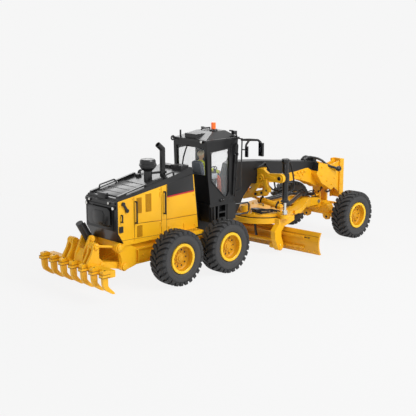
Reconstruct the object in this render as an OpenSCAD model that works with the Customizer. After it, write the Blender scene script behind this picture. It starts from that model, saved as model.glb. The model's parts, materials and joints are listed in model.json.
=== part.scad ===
// Motor grader, a 1:50 scale model with working joints.
// Millimetres, +X forward, +Y left, +Z up, wheels standing on Z = 0.
// Places along the machine are counted from mid-tandem and shifted at the end,
// so that the origin lies under the middle of the whole model.

/* [Wheels] */
// Tyre diameter over the lugs
tyre_d = 29.5; // [27:0.5:31]
// Tyre width
tyre_w = 10.5; // [9:0.5:11]
// Rim flange diameter
rim_d = 15.7; // [14:0.1:17]
// Wall of the rim barrel
rim_wall = 0.8; // [0.5:0.1:1.2]
// Distance between tyre middles across the machine
track = 51.3; // [51:0.1:56]
// Mid-tandem to the front axle
wheelbase = 131; // [129:0.5:138]
// Distance between the two axles of a tandem
tandem_pitch = 35.2; // [33:0.2:38]
// Axle stub radius
stub_r = 2; // [1.6:0.1:2.4]
// Lug bars round each side of a tyre
lugs = 24; // [18:2:24]
// Depth of the grooves between the lug bars
lug_depth = 0.9; // [0.4:0.1:1.2]
// Wheel bolts on a rim
wheel_bolts = 10; // [6:1:12]

/* [Running gear] */
// Radial running clearance of pins and shafts
run_gap = 0.05; // [0.02:0.01:0.1]
// Gap between faces that pass each other
face_gap = 0.3; // [0.2:0.05:0.5]
// Thickness of a tandem case
case_t = 5.4; // [4:0.1:6]
// End radius of a tandem case
case_r = 5.2; // [4:0.1:6]
// Radius of the tandem pivot tube
pivot_r = 4; // [3:0.1:4.4]
// Radius of the articulation pin
hitch_pin_r = 1.8; // [1.2:0.1:2.2]
// Mid-tandem to the articulation pin
hitch_x = 13; // [12:0.2:14]
// King pin inboard of the wheel's middle
king_in = 7.45; // [7.25:0.05:7.85]
// Lean pivot inboard of the king pin
lean_in = 5.4; // [5.2:0.1:5.8]
// Height of the lean pivot
lean_z = 12.5; // [11.5:0.1:13.5]
// King pin radius
king_r = 1.1; // [0.8:0.1:1.3]
// Length of a steering arm
steer_arm = 7; // [6:0.1:8]

/* [Rear body] */
// Half width of the engine hood
hood_hw = 12.5; // [11.8:0.1:13]
// Rear face of the hood
hood_x0 = -46.4; // [-48:0.1:-45]
// Front end of the hood at its foot
hood_x1 = 10; // [9:0.1:10.4]
// Top of the chassis, where the hood stands
chassis_top = 24; // [23.6:0.1:24.4]
// Underside of the chassis
chassis_z = 11; // [10:0.1:11.4]
// Gap between the chassis and a tandem case
case_gap = 4.2; // [3.8:0.1:5]
// Height of the hood top at the rear
hood_z0 = 46.9; // [46:0.1:49]
// Height of the hood top at the front
hood_z1 = 58; // [57:0.1:59]
// Thickness of the hood side panels
panel_t = 1.2; // [0.8:0.1:1.6]
// Exhaust pipe radius
exhaust_r = 1.5; // [1.2:0.1:1.8]
// Air cleaner bowl radius
cleaner_r = 4.6; // [4:0.1:5]

/* [Cab] */
// Half width of the cab
cab_hw = 13.4; // [12.8:0.1:14]
// Thickness of the cab walls and doors
cab_t = 1.2; // [0.9:0.1:1.5]
// Height of the cab floor's top
cab_z = 35.3; // [35:0.1:35.8]
// Height of the cab eaves
eave_z = 69.6; // [68:0.1:71]
// Thickness of the cab floor
floor_t = 1.5; // [1.2:0.1:1.8]
// Thickness of the window glass
glass_t = 0.5; // [0.4:0.05:0.7]
// Height of the roof ridge above the eaves
ridge_rise = 4.6; // [4:0.1:5.4]
// Beacon height above the ridge
beacon_h = 4.4; // [3.5:0.1:5]

/* [Front frame] */
// Half width of the boom
boom_hw = 4.5; // [4:0.1:4.8]
// Half width of the bolster over the front axle
bolster_hw = 9; // [8:0.1:9.6]
// Half width of the push plate
plate_hw = 4; // [3:0.1:5]
// Front face of the push plate, ahead of the front axle
plate_reach = 19; // [17:0.1:20]
// Saddle's place along the boom
saddle_x = 67; // [66:0.2:68]
// Lift cylinder from the machine's middle plane
lift_y = 22; // [21:0.1:23]
// Height of the lift cylinder trunnions
trunnion_z = 45; // [44:0.1:46]
// Lift cylinder barrel radius
lift_r = 2.4; // [2:0.1:2.6]
// Lift rod radius
rod_r = 0.9; // [0.7:0.1:1.1]

/* [Blade] */
// Middle of the circle from mid-tandem
circle_x = 74.5; // [73.5:0.1:75.5]
// Outer radius of the circle
circle_r = 19.5; // [18.5:0.1:20]
// Top of the circle
circle_z = 20.7; // [20.4:0.1:20.8]
// Blade length
blade_l = 86; // [80:1:90]
// Blade height
blade_h = 13; // [12:0.1:14]
// Lower edge of the blade above the ground
blade_z = 1; // [0.8:0.1:1.6]
// Blade turned about the circle at rest
blade_yaw = 4.5; // [0:0.5:8]
// Drawbar ball behind the front axle
ball_back = 7; // [6.6:0.1:7.5]
// Height of the drawbar ball
ball_z = 21; // [20.6:0.1:21.4]

/* [Ripper] */
// Half width over the outer shanks
ripper_hw = 26; // [24:0.1:28]
// Number of shanks
shanks = 7; // [3:2:9]
// Thickness of a shank
shank_t = 1.8; // [1.4:0.1:2.6]
// Inner face of the ripper ears from the machine's middle
ear_y = 9.6; // [9.4:0.1:10]
// Thickness of a ripper ear
ear_t = 2.4; // [1.6:0.1:2.6]
// Height of the shank tips
tip_z = 4; // [3:0.1:5]
// Length of a ripper link, front to back
link_dx = 14; // [12:0.1:15]
// Rise of a ripper link, front to back
link_dz = 2.9; // [1:0.1:4]

/* [Hidden] */
$fn = 48;
touch = 0.03;

wheel_z = tyre_d / 2;
wheel_y = track / 2;
seat_drop = 0.9;
seat_r = rim_d / 2 - seat_drop;
axle_x = wheelbase;
case_clear = 0.8;
case_y1 = wheel_y - tyre_w / 2 - case_clear;
case_y0 = case_y1 - case_t;
half_pitch = tandem_pitch / 2;

// Rear chassis
chassis_hw = case_y0 - case_gap;
chassis_x1 = 7.5;
frame_x0 = -36;
deck_x0 = -43;
deck_z = 20.8;
lug_z0 = 12.6;
lug_z1 = 21.4;
lug_t = 2;

// Ripper pins in the side view, and the shanks behind the beam
lower_pin = [-41.4, 11.7];
upper_pin = [-44.2, 21.9];
beam_pin = lower_pin + [-link_dx, link_dz];
tower_pin = upper_pin + [-link_dx, link_dz];
ripper_trunnion = [-55.2, 27];
ripper_eye = [-46.6, 12.6];
link_pin_r = 1.2;
shank_x = beam_pin[0] - 7;
collar_l = 4.6;
ripper_x0 = shank_x - collar_l;

front_x1 = axle_x + plate_reach;
centre_x = (ripper_x0 + front_x1) / 2;

// Hood
skin_back = hood_x0 + 1;
hood_front = hood_x1 - 3.4;
slope = (hood_z1 - hood_z0) / (hood_x1 - hood_x0);
seam_z0 = hood_z0 - 1.2;
seam_z1 = hood_z1 - 4;
seam_slope = (seam_z1 - seam_z0) / (hood_x1 - hood_x0);
door_seams = [-34.9, -16.5, -12.8];
// Recesses behind the mesh of the doors, as rear, low, front and high edges
mesh_panels = [[-33.2, 38.1, -29.8, 46.2], [-27.3, 38, -23.3, 47.4], [-33.2, 25.6, -29.5, 31.7]];
// Door handles, as place, low end and high end
grab_handles = [[-34.1, 33.5, 44.5], [-14.6, 35.5, 47]];
rail_x0 = -45;
rail_x1 = -14;
rail_h = 1.3;
exhaust_at = [-9.6, -6];
cleaner_at = [-18.1, -4];
cleaner_neck_r = 2.2;

// Cab
ridge_z = eave_z + ridge_rise;
cab_x0 = 16;
cab_x1 = 40.2;
sill_x0 = 18.6;
sill_x1 = 36.6;
waist_x = 16.6;
waist_z = 51;
seat_x = 25;
seat_z = cab_z + 4.5;

// Front frame
king_y = wheel_y - king_in;
lean_y = king_y - lean_in;
ball_x = axle_x - ball_back;
axle_pivot_z = 17;
ball_pin_r = 1.1;
trunnion_r = 1.2;
lift_x = saddle_x + 4;
shift_ball = [saddle_x + 3, 6.4, 31];
king_z0 = 9;
king_z1 = 18.6;
bar_ear = 4.2;
lean_r = 1.7;
bolster_back = axle_x - 13;
bolster_x1 = axle_x + 4.6;
bolster_top = 43;
bolster_z = 28;

// Places along the boom between the saddle and the front axle
function ahead(share) = saddle_x + share * (axle_x - saddle_x);
boom_top = [[axle_x - 8.5, 46.8], [axle_x - 11.4, 47.2], [ahead(0.367), 50.4], [saddle_x + 4.7, 52.8], [49.8, 54.8],
    [46, 53.4]];
boom_low = [[54.3, 33.9], [61.1, 40.5], [ahead(0.42), 37.6], [ahead(0.566), 37.9], [ahead(0.758), 33.9],
    [ahead(0.828), 31.5]];

// Drawbar, circle and blade
plate_z0 = 21;
plate_z1 = 23;
lug_z = 23.1;
plate_x1 = circle_x + circle_r - 2;
leg_x = plate_x1 - 2;
circle_in = 15.5;
arm_pin = [-7.2, 4.2];
arm_y0 = 17.4;
arm_y1 = 20.6;
blade_back = -1.3;
blade_r = 12.2;
blade_t = 1.2;
shift_pin = [77, -13.7, 25.5];
shift_pin_l = 4.4;

// Places along the drawbar between the circle and the ball
function leg_at(share) = leg_x + share * (ball_x - leg_x);

yellow = "#F9BC22";
black = "#2E2E2E";
rubber = "#3A3A3A";
steel = "#D8D8D4";

// Shared helpers

// An outline in X and Z, from y0 to y1 across the machine
module across(y0, y1) {
    translate([0, y1, 0]) rotate([90, 0, 0]) linear_extrude(y1 - y0) children();
}

// An outline in Y and Z, from x0 to x1 along the machine
module along(x0, x1) {
    translate([x0, 0, 0]) rotate([90, 0, 90]) linear_extrude(x1 - x0) children();
}

// An outline in X and Y, from z0 to z1
module up(z0, z1) {
    translate([0, 0, z0]) linear_extrude(z1 - z0) children();
}

module pin_y(x, z, r, y0, y1) {
    translate([x, y0, z]) rotate([-90, 0, 0]) cylinder(r = r, h = y1 - y0);
}

module pin_x(y, z, r, x0, x1) {
    translate([x0, y, z]) rotate([0, 90, 0]) cylinder(r = r, h = x1 - x0);
}

module pin_z(x, y, r, z0, z1) {
    translate([x, y, z0]) cylinder(r = r, h = z1 - z0);
}

// A round bar between two points
module bar(a, b, r) {
    d = b - a;
    h = norm(d);
    translate(a) rotate([0, acos(d[2] / h), atan2(d[1], d[0])]) cylinder(r = r, h = h);
}

// Direction of a route at one of its points
function unit(v) = v / norm(v);
function heading(p, i) = unit((i < len(p) - 1 ? unit(p[i + 1] - p[i]) : [0, 0, 0])
    + (i > 0 ? unit(p[i] - p[i - 1]) : [0, 0, 0]));

// A side direction carried along the route without twist
function first_side(t) = unit(cross(t, abs(t[2]) < 0.9 ? [0, 0, 1] : [1, 0, 0]));
function sides_along(p, i = 0, last = [0, 0, 0]) = i >= len(p) ? [] : let (
    t = heading(p, i),
    n = i == 0 ? first_side(t) : unit(last - (last * t) * t)) concat([n], sides_along(p, i + 1, n));

// Corners of the tube around one point, stretched in the bend so that it keeps its thickness
function tube_ring(p, i, n, r, count) = let (
    t = heading(p, i),
    b = cross(t, n),
    d = i < len(p) - 1 ? unit(p[i + 1] - p[i]) : t,
    c = d * t,
    k = c > 0.9999 ? [0, 0, 0] : unit(d - c * t))
    [for (s = [0:count - 1]) let (o = r * (cos(360 * s / count) * n + sin(360 * s / count) * b))
        p[i] + o + k * (o * k) * (1 / c - 1)];

// A rod bent along a route of points
module tube(p, r, count = 8) {
    n = sides_along(p);
    last = len(p) - 1;
    polyhedron(
        points = [for (i = [0:last]) each tube_ring(p, i, n[i], r, count)],
        faces = concat(
            [[for (s = [0:count - 1]) s]],
            [for (i = [0:last - 1]) for (s = [0:count - 1]) each let (q = (s + 1) % count, a = i * count, b = a + count)
                [[a + s, b + s, b + q], [a + s, b + q, a + q]]],
            [[for (s = [0:count - 1]) last * count + count - 1 - s]]));
}

module both() {
    children();
    mirror([0, 1, 0]) children();
}

// A straight strip between two points, with round ends a little wider than its waist
module strip(a, b, r) {
    d = b - a;
    waist = 0.95 * r;
    translate(a) circle(r = r);
    translate(b) circle(r = r);
    translate(a) rotate(atan2(d[1], d[0])) translate([0, -waist]) square([norm(d), 2 * waist]);
}

module block(low, high) {
    translate(low) cube(high - low);
}

// Wheels, built about their own middle with the outer side towards +Y

module at_wheel(x, side) {
    translate([x, side * wheel_y, wheel_z]) rotate(side > 0 ? 0 : 180) rotate([-90, 0, 0]) children();
}

// Section of a tyre at one column; lug bars alternate from side to side
function tyre_side(side, high) = let (half = tyre_w / 2, crown = tyre_d / 2 - (high ? 0 : lug_depth))
    [[(seat_r + touch) / cos(180 / (2 * lugs)), side * (half - 1.2)], [rim_d / 2 + 0.3, side * (half - 1.2)],
        [tyre_d / 2 - 3.4, side * half], [crown - 1, side * (half - 0.3)], [crown, side * (half - 1.6)]];
function tyre_section(column) = concat(
    tyre_side(-1, column % 2 == 0),
    [for (p = [4:-1:0]) tyre_side(1, column % 2 == 1)[p]]);

module tyre() {
    columns = 2 * lugs;
    ring = 10;
    turn = 360 / columns;
    color(rubber) polyhedron(
        points = [for (c = [0:columns - 1]) for (p = tyre_section(c)) [p[0] * cos(90 + c * turn), p[0] * sin(90 + c * turn), p[1]]],
        faces = [for (c = [0:columns - 1]) for (p = [0:ring - 1]) each let (
            a = c * ring, b = (c + 1) % columns * ring, q = (p + 1) % ring)
            [[a + p, a + q, b + q], [a + p, b + q, b + p]]]);
}

module rim() {
    half = tyre_w / 2;
    lip = half - 1.15;
    disc_z = 0.6;
    hub_r = 2.7;
    hub_cap = 0.6;
    color(yellow) difference() {
        union() {
            rotate_extrude() polygon([
                [seat_r - rim_wall, -half + 0.2], [rim_d / 2, -half + 0.2], [rim_d / 2, -lip], [seat_r, -lip],
                [seat_r, lip], [rim_d / 2, lip], [rim_d / 2, half - 0.2], [seat_r - rim_wall, half - 0.2]]);
            translate([0, 0, disc_z]) cylinder(r = seat_r, h = 1.2);
            translate([0, 0, -half + 2.2]) cylinder(r = hub_r, h = half - 2.2 + disc_z + 1.2 + hub_cap);
            for (i = [0:wheel_bolts - 1]) rotate(i * 360 / wheel_bolts)
                translate([(seat_r - rim_wall + hub_r) / 2, 0, disc_z + 1.2]) cylinder(r = 0.45, h = 0.6);
        }
        translate([0, 0, -half]) cylinder(r = stub_r + run_gap, h = half + disc_z + 1.2);
    }
}

// The stub that carries a wheel, from the given inner place to the hub
module stub(x, side, y0) {
    at_wheel(x, side) translate([0, 0, y0 - wheel_y]) cylinder(r = stub_r, h = wheel_y - y0 + 1.4);
}

// Rear body

module rear_chassis() {
    ear_out = ear_y + ear_t;
    flange = 0.9;
    color(yellow) difference() {
        union() {
            across(-chassis_hw, chassis_hw) polygon([
                [frame_x0, chassis_z], [chassis_x1 - 1.5, chassis_z], [chassis_x1, chassis_z + 2],
                [chassis_x1, chassis_top], [deck_x0, chassis_top], [deck_x0, deck_z], [frame_x0, deck_z]]);
            // Deck that carries the hood
            block([deck_x0, -hood_hw, chassis_top - 1.4], [chassis_x1, hood_hw, chassis_top]);
            // Flanges and ribs along the sides
            both() {
                for (z = [chassis_z, 18.4]) block([frame_x0, 0, z], [-pivot_r - 1, chassis_hw + flange, z + flange]);
                for (x = [frame_x0, -31.4]) block([x, 0, chassis_z], [x + flange, chassis_hw + flange, 19]);
            }
            // Cross member and ears that carry the ripper
            block([frame_x0 - 1.2, -ear_y - 0.5, 12.4], [frame_x0 + 2, ear_y + 0.5, deck_z]);
            both() across(ear_y, ear_out) {
                translate(upper_pin) circle(r = 2.5);
                translate(lower_pin) circle(r = 2.4);
                polygon([
                    [frame_x0 + 2, chassis_z + 0.2], [frame_x0 + 2, 20.4], [-39, 23.4], upper_pin + [0.6, 2.3],
                    upper_pin + [-1.7, -1.7], [-43.9, 18.4], [-43.2, 15], lower_pin + [-1.8, 1.4], lower_pin + [0, -2.2]]);
            }
            // Clevis for the ripper rod
            both() across(1.3, 2.6) {
                translate(ripper_eye) circle(r = 1.8);
                polygon([[frame_x0 + 0.5, 11.4], [frame_x0 + 0.5, 16], ripper_eye + [0.3, 1.6], ripper_eye + [0, -1.6]]);
            }
            // Tube that carries both tandem cases
            pin_y(0, wheel_z, pivot_r, -case_y1 + 0.4, case_y1 - 0.4);
            // Articulation lugs and pin
            for (z = [lug_z0, lug_z1]) up(z, z + lug_t) {
                translate([chassis_x1 - 1.5, -5]) square([hitch_x - chassis_x1 + 1.5, 10]);
                translate([hitch_x, 0]) circle(r = 3.4);
            }
            pin_z(hitch_x, 0, hitch_pin_r, lug_z0 + 0.4, lug_z1 + 0.6);
            // Foot boards over the tandems
            both() block([-2, chassis_hw - 0.5, chassis_top - 1.6], [chassis_x1, case_y1, chassis_top]);
        }
        // Room for the eyes of the top link
        both() pin_y(upper_pin[0], upper_pin[1], 2.4, ear_y - 2.3, ear_y);
        // Threaded hole for a display base
        pin_z(-20, 0, 1.25, chassis_z - 1, chassis_z + 7);
    }
    // Pins of the ears, which reach inwards through the links
    color(yellow) both() for (p = [lower_pin, upper_pin]) pin_y(p[0], p[1], link_pin_r, ear_y - 2.2, ear_out + 0.4);
}

function seam_z(x) = seam_z0 + (x - hood_x0) * seam_slope;
function hood_z(x) = hood_z0 + (x - hood_x0) * slope;

module hood_panels() {
    groove = 0.25;
    color(yellow) both() difference() {
        across(hood_hw - panel_t, hood_hw) polygon([
            [skin_back + 3.3, chassis_top + touch], [hood_x1, chassis_top + touch],
            [hood_x1 - 3.2, seam_z(hood_x1 - 3.2)], [skin_back, seam_z(skin_back)], [skin_back, 29.4]]);
        // Seams between the service doors
        for (x = door_seams) block([x - 0.15, hood_hw - groove, chassis_top], [x + 0.15, hood_hw + 1, 60]);
        across(hood_hw - groove, hood_hw + 1) polygon([
            [door_seams[0], 32.8], [hood_x1, 31.2], [hood_x1, 31.5], [door_seams[0], 33.1]]);
        for (m = mesh_panels) block([m[0], hood_hw - groove, m[1]], [m[2], hood_hw + 1, m[3]]);
    }
}

module hood_top() {
    color(black) difference() {
        union() {
            intersection() {
                across(-hood_hw, hood_hw) polygon([
                    [skin_back, seam_z(skin_back) + touch], [hood_front, seam_z(hood_front) + touch],
                    [hood_front, hood_z(hood_front)], [skin_back + 0.6, hood_z(skin_back + 0.6)],
                    [skin_back, hood_z(skin_back) - 0.6]]);
                // Sides lean in a little over the panels
                along(skin_back - 1, hood_front + 1) polygon([
                    [-hood_hw, 20], [hood_hw, 20], [hood_hw, 51], [hood_hw - 1.4, 60], [-hood_hw + 1.4, 60],
                    [-hood_hw, 51]]);
            }
            // Rails along the edges
            both() across(hood_hw - 2.4, hood_hw - 1) polygon([
                [rail_x0, hood_z(rail_x0) - 0.5], [rail_x0 + 0.6, hood_z(rail_x0) + rail_h],
                [rail_x1 - 1, hood_z(rail_x1) + rail_h], [rail_x1, hood_z(rail_x1) - 0.5]]);
            // Ribs across the top
            for (x = [-42:4:-26]) across(-hood_hw + 3.4, hood_hw - 3.4)
                polygon([[x, hood_z(x) - 0.4], [x, hood_z(x) + 0.5], [x + 1.6, hood_z(x) + 0.7], [x + 1.6, hood_z(x) - 0.4]]);
            // Handrails towards the cab
            both() {
                for (x = [-11.6, -5.6]) pin_z(x, hood_hw - 2.4, 0.5, hood_z(x) - 0.5, hood_z(x) + 1.4);
                bar([-11.6, hood_hw - 2.4, hood_z(-11.6) + 1.3], [-5.6, hood_hw - 2.4, hood_z(-5.6) + 1.3], 0.4);
            }
            // Filler cap
            pin_z(-15.4, 7, 1.6, hood_z(-15.4) - 0.5, hood_z(-15.4) + 1.2);
            // Boxes and pipe run in front of the cab
            block([hood_front - 6.2, -9.4, hood_z(hood_front - 6.2) - 1], [hood_front - 0.6, -1.6, hood_z(hood_front) + 1.1]);
            block([hood_front - 5.4, 0.6, hood_z(hood_front - 6.2) - 1], [hood_front - 1.2, 8.6, hood_z(hood_front) + 0.4]);
        }
        // Finger openings under the rails
        both() across(hood_hw - 3, hood_hw) polygon([
            [-39, hood_z(-39) + 0.1], [-38.6, hood_z(-39) + 0.8], [-26.4, hood_z(-26) + 0.8], [-26, hood_z(-26) + 0.1]]);
        pin_z(exhaust_at[0], exhaust_at[1], exhaust_r + touch, hood_z(exhaust_at[0]) - 2, 80);
        pin_z(cleaner_at[0], cleaner_at[1], cleaner_neck_r + touch, hood_z(cleaner_at[0]) - 2, 80);
    }
    // Bulkhead under the front of the hood
    color(black) across(-hood_hw + panel_t + touch, hood_hw - panel_t - touch) polygon([
        [hood_front - 2, chassis_top + touch], [hood_front + 2.6, chassis_top + touch],
        [hood_front - 0.4, seam_z(hood_front - 0.4)], [hood_front - 2, seam_z(hood_front - 2)]]);
}

module exhaust_stack() {
    foot = hood_z(exhaust_at[0]) - 2;
    bend = [exhaust_at[0], exhaust_at[1], 68.3];
    color(black) difference() {
        union() {
            pin_z(exhaust_at[0], exhaust_at[1], exhaust_r, foot, bend[2]);
            translate(bend) sphere(r = exhaust_r);
            bar(bend, [-12.8, exhaust_at[1], 71], exhaust_r);
        }
        bar([-11.2, exhaust_at[1], 69.6], [-13.5, exhaust_at[1], 71.5], exhaust_r - 0.4);
    }
}

module air_cleaner() {
    foot = hood_z(cleaner_at[0]) - 2;
    color(black) {
        translate([cleaner_at[0], cleaner_at[1], 0]) rotate_extrude() polygon([
            [0, foot], [cleaner_neck_r, foot], [cleaner_neck_r, 57.4], [cleaner_r - 1.4, 58.4], [cleaner_r - 0.4, 59.4],
            [cleaner_r - 0.4, 60], [cleaner_r, 60.2], [cleaner_r, 61.2], [cleaner_r - 0.4, 61.4], [cleaner_r - 0.4, 62.8],
            [cleaner_r - 1, 63.7], [0, 64]]);
        // Clamp that holds the exhaust
        up(55.6, 56.8) difference() {
            union() {
                translate(exhaust_at) circle(r = exhaust_r + 0.7);
                strip(cleaner_at, exhaust_at, 0.9);
            }
            translate(exhaust_at) circle(r = exhaust_r + touch);
        }
    }
}

module rear_grille() {
    frame_z0 = 31.4;
    frame_z1 = 43.4;
    color(black) difference() {
        union() {
            across(-hood_hw, hood_hw) polygon([
                [hood_x0, 30.6], [hood_x0 + 3.6, chassis_top + touch], [hood_x0 + 4.2, chassis_top + touch],
                [skin_back - touch, 29.4], [skin_back - touch, hood_z0 - 0.6], [hood_x0 + 0.4, hood_z0 - 0.6],
                [hood_x0, hood_z0 - 1.2]]);
            // Frame round the cooler
            block([hood_x0 - 0.5, -10, frame_z0], [hood_x0 + 0.1, 10, frame_z1]);
            // Visor with its lamps
            block([hood_x0 - 0.9, -hood_hw + 0.6, 44.3], [hood_x0 + 0.1, hood_hw - 0.6, hood_z0 - 1.2]);
            both() pin_x(10.8, 42.6, 1, hood_x0 - 1.1, hood_x0 + 0.1);
            both() pin_x(7.8, 45, 0.8, hood_x0 - 1.5, hood_x0 - 0.8);
        }
        block([hood_x0 - 1, -9, frame_z0 + 1], [hood_x0, 9, frame_z1 - 1]);
        for (i = [0:5]) block([hood_x0 - 1, -8.4, frame_z0 + 1.4 + i * 1.6], [hood_x0 + 0.5, 8.4, frame_z0 + 2.2 + i * 1.6]);
    }
}

// Grab handles, lamps and rails on the hood
module hood_fittings() {
    out = hood_hw + 1.3;
    color(black) both() {
        for (h = grab_handles) tube([
            [h[0], hood_hw, h[1]], [h[0], out, h[1]], [h[0], out, h[2]], [h[0], hood_hw, h[2]]], 0.45);
        // Tail handle, latch and corner catch
        tube([[-43.4, hood_hw, 35.3], [-43.4, out - 0.2, 35.3], [-43.4, out - 0.2, 38.8], [-43.4, hood_hw, 38.8]], 0.4);
        across(hood_hw, hood_hw + 0.8) {
            translate([-42.2, 44.4]) circle(r = 1);
            translate([-39.8, 40.6]) circle(r = 1);
            strip([-42.2, 44.4], [-39.8, 40.6], 0.6);
        }
        block([-44.9, hood_hw, 29.9], [-42.6, hood_hw + 0.6, 33]);
    }
}

module tandem_case(side) {
    y0 = side > 0 ? case_y0 : -case_y1;
    y1 = side > 0 ? case_y1 : -case_y0;
    h = tandem_pitch / 2;
    color(yellow) {
        difference() {
            across(y0, y1) strip([-h, wheel_z], [h, wheel_z], case_r);
            pin_y(0, wheel_z, pivot_r + run_gap, -track, track);
        }
        for (x = [-h, h]) stub(x, side, case_y1);
    }
}

// Front frame

// Height of the boom's underside and top at the saddle and other places
function line_z(p, q, x) = p[1] + (q[1] - p[1]) * (x - p[0]) / (q[0] - p[0]);

module boom() {
    tongue_z0 = lug_z0 + lug_t + face_gap;
    tongue_z1 = lug_z1 - face_gap;
    tongue_r = 3.2;
    floor_z = cab_z - floor_t - touch;
    color(yellow) difference() {
        union() {
            across(-boom_hw, boom_hw) polygon(concat(
                [[hitch_x + 5, tongue_z0], [hitch_x + 13, tongue_z0], [47, 22]], boom_low,
                [[bolster_x1, bolster_z + 2], [bolster_x1, bolster_top]], boom_top,
                [[43.6, 46], [43, floor_z], [hitch_x + 5, floor_z]]));
            // Tongue of the articulation
            up(tongue_z0, tongue_z1) {
                translate([hitch_x, 0]) circle(r = tongue_r);
                translate([hitch_x, -tongue_r]) square([6, 2 * tongue_r]);
            }
            // Bolster over the front axle
            across(-bolster_hw, bolster_hw) polygon([
                [bolster_back, 47], [bolster_back - 2, 40], [bolster_back + 3, 33.5], [axle_x, bolster_z],
                [bolster_x1, bolster_z + 2.4], [bolster_x1 - 0.8, bolster_top]]);
            // Axle brackets, front and back of the beam
            for (x = [axle_x - 4, axle_x + 2.8]) along(x, x + 1.2) {
                translate([0, axle_pivot_z]) circle(r = 3);
                translate([-3, axle_pivot_z]) square([6, bolster_z - axle_pivot_z + 3.4]);
            }
            pin_x(0, axle_pivot_z, 1.5, axle_x - 4, axle_x + 4);
            // Lugs above and below the drawbar ball
            for (z = [ball_z - 4.3, ball_z + 3]) up(z, z + 1.3) {
                translate([ball_x, 0]) circle(r = 2.4);
                translate([ball_x, -2.4]) square([axle_x - 3 - ball_x, 4.8]);
            }
        }
        pin_z(hitch_x, 0, hitch_pin_r + run_gap, 10, 25);
        pin_z(ball_x, 0, ball_pin_r + run_gap, ball_z - 6, ball_z + 6);
    }
}

module push_plate() {
    plate_t = 2;
    z0 = 20;
    z1 = 45.5;
    color(yellow) {
        block([front_x1 - plate_t, -plate_hw, z0], [front_x1, plate_hw, z1]);
        both() {
            // Flanges down the edges
            block([front_x1 - plate_t - 2, plate_hw - 1, z0], [front_x1 - plate_t, plate_hw, z1]);
            // Brackets back to the bolster
            across(plate_hw - 2.2, plate_hw - 1) polygon([
                [bolster_x1 + touch, bolster_z + 4], [front_x1 - plate_t, z0 + 3], [front_x1 - plate_t, z1 - 1],
                [bolster_x1 + touch, bolster_top - 1]]);
        }
    }
}

module saddle() {
    x0 = saddle_x - 1;
    x1 = x0 + 6;
    low = line_z(boom_low[1], boom_low[2], x1);
    ear = 2.7;
    color(yellow) difference() {
        union() {
            // Cheeks and strap that clasp the boom
            both() block([x0, boom_hw + touch, low - 2.4], [x1, boom_hw + 2, 49]);
            block([x0, -boom_hw - 2, low - 2.4], [x1, boom_hw + 2, low - touch]);
            // Arms out to the lift cylinders
            both() along(x0, x0 + 2) {
                polygon([[boom_hw + touch, 40.5], [boom_hw + touch, 49], [9, 49], [13, 46.8], [lift_y, trunnion_z + ear],
                    [lift_y, trunnion_z - ear], [12, 42.6], [9, 38.6]]);
                translate([lift_y, trunnion_z]) circle(r = ear);
            }
            // Levers and link bar that hang under the boom
            along(x0 + 2, x0 + 3.6) {
                strip([-9, 43], [-8.6, 34.4], 1.9);
                strip([6.4, 41], [shift_ball[1], shift_ball[2]], 1.7);
            }
            along(x0, x0 + 2) strip([-10.6, 35.4], [shift_ball[1], shift_ball[2]], 1.8);
        }
        both() pin_x(lift_y, trunnion_z, trunnion_r + run_gap, x0 - 1, x0 + 3);
        for (y = [-8.6, -3.8]) pin_x(y, line_z([-10.6, 35.4], [shift_ball[1], shift_ball[2]], y), 0.8, x0 - 1, x0 + 1);
    }
}

// Cab

module cab_outline(inset) {
    polygon([
        [sill_x0 + inset, cab_z], [waist_x + inset, waist_z], [cab_x0 + inset, eave_z - 2], [cab_x0 + inset, eave_z - inset],
        [cab_x1 - inset, eave_z - inset], [sill_x1 - inset, cab_z]]);
}

module cab_floor() {
    color(black) block([18, -cab_hw, cab_z - floor_t], [37, cab_hw, cab_z - touch]);
}

module cab_frame() {
    y = cab_hw - cab_t - touch;
    color(black) difference() {
        across(-y, y) difference() {
            cab_outline(0);
            cab_outline(cab_t);
        }
        block([10, -y + 0.9, waist_z + 0.5], [20, y - 0.9, eave_z - 3.2]);
        block([30, -y + 1.6, cab_z + 3], [45, y - 1.6, eave_z - 2.2]);
        block([22, -y + 3, eave_z - 2], [34, y - 3, eave_z + 1]);
    }
}

// Door window, grown by a lip
module door_window(lip) {
    polygon([
        [18.9 - lip, eave_z - 5.3 + lip], [33.2 + lip, eave_z - 4.4 + lip], [33.2 + lip, 40.4 - lip], [31.6, 37.9 - lip],
        [29.6 - lip * 0.5, 38.2 - lip], [19.3 - lip, 48.2 - lip * 0.5]]);
}

module cab_doors() {
    color(black) both() difference() {
        across(cab_hw - cab_t, cab_hw) cab_outline(0);
        across(cab_hw - cab_t - 1, cab_hw + 1) door_window(0);
    }
}

module cab_glass() {
    y = cab_hw - cab_t - touch;
    color("#B8C4CC", 0.4) {
        both() across(y - glass_t, y - touch) intersection() {
            door_window(0.5);
            cab_outline(cab_t + touch);
        }
        for (w = [[16, waist_z + 0.5, eave_z - 3.2, 0], [36, cab_z + 3, eave_z - 2.2, 1]]) across(-y + 0.2, y - 0.2) {
            intersection() {
                difference() {
                    cab_outline(cab_t + touch);
                    cab_outline(cab_t + touch + glass_t);
                }
                translate([w[3] > 0 ? 30 : 10, w[1] - 0.5]) square([12, w[2] - w[1] + 1]);
            }
        }
    }
}

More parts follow.
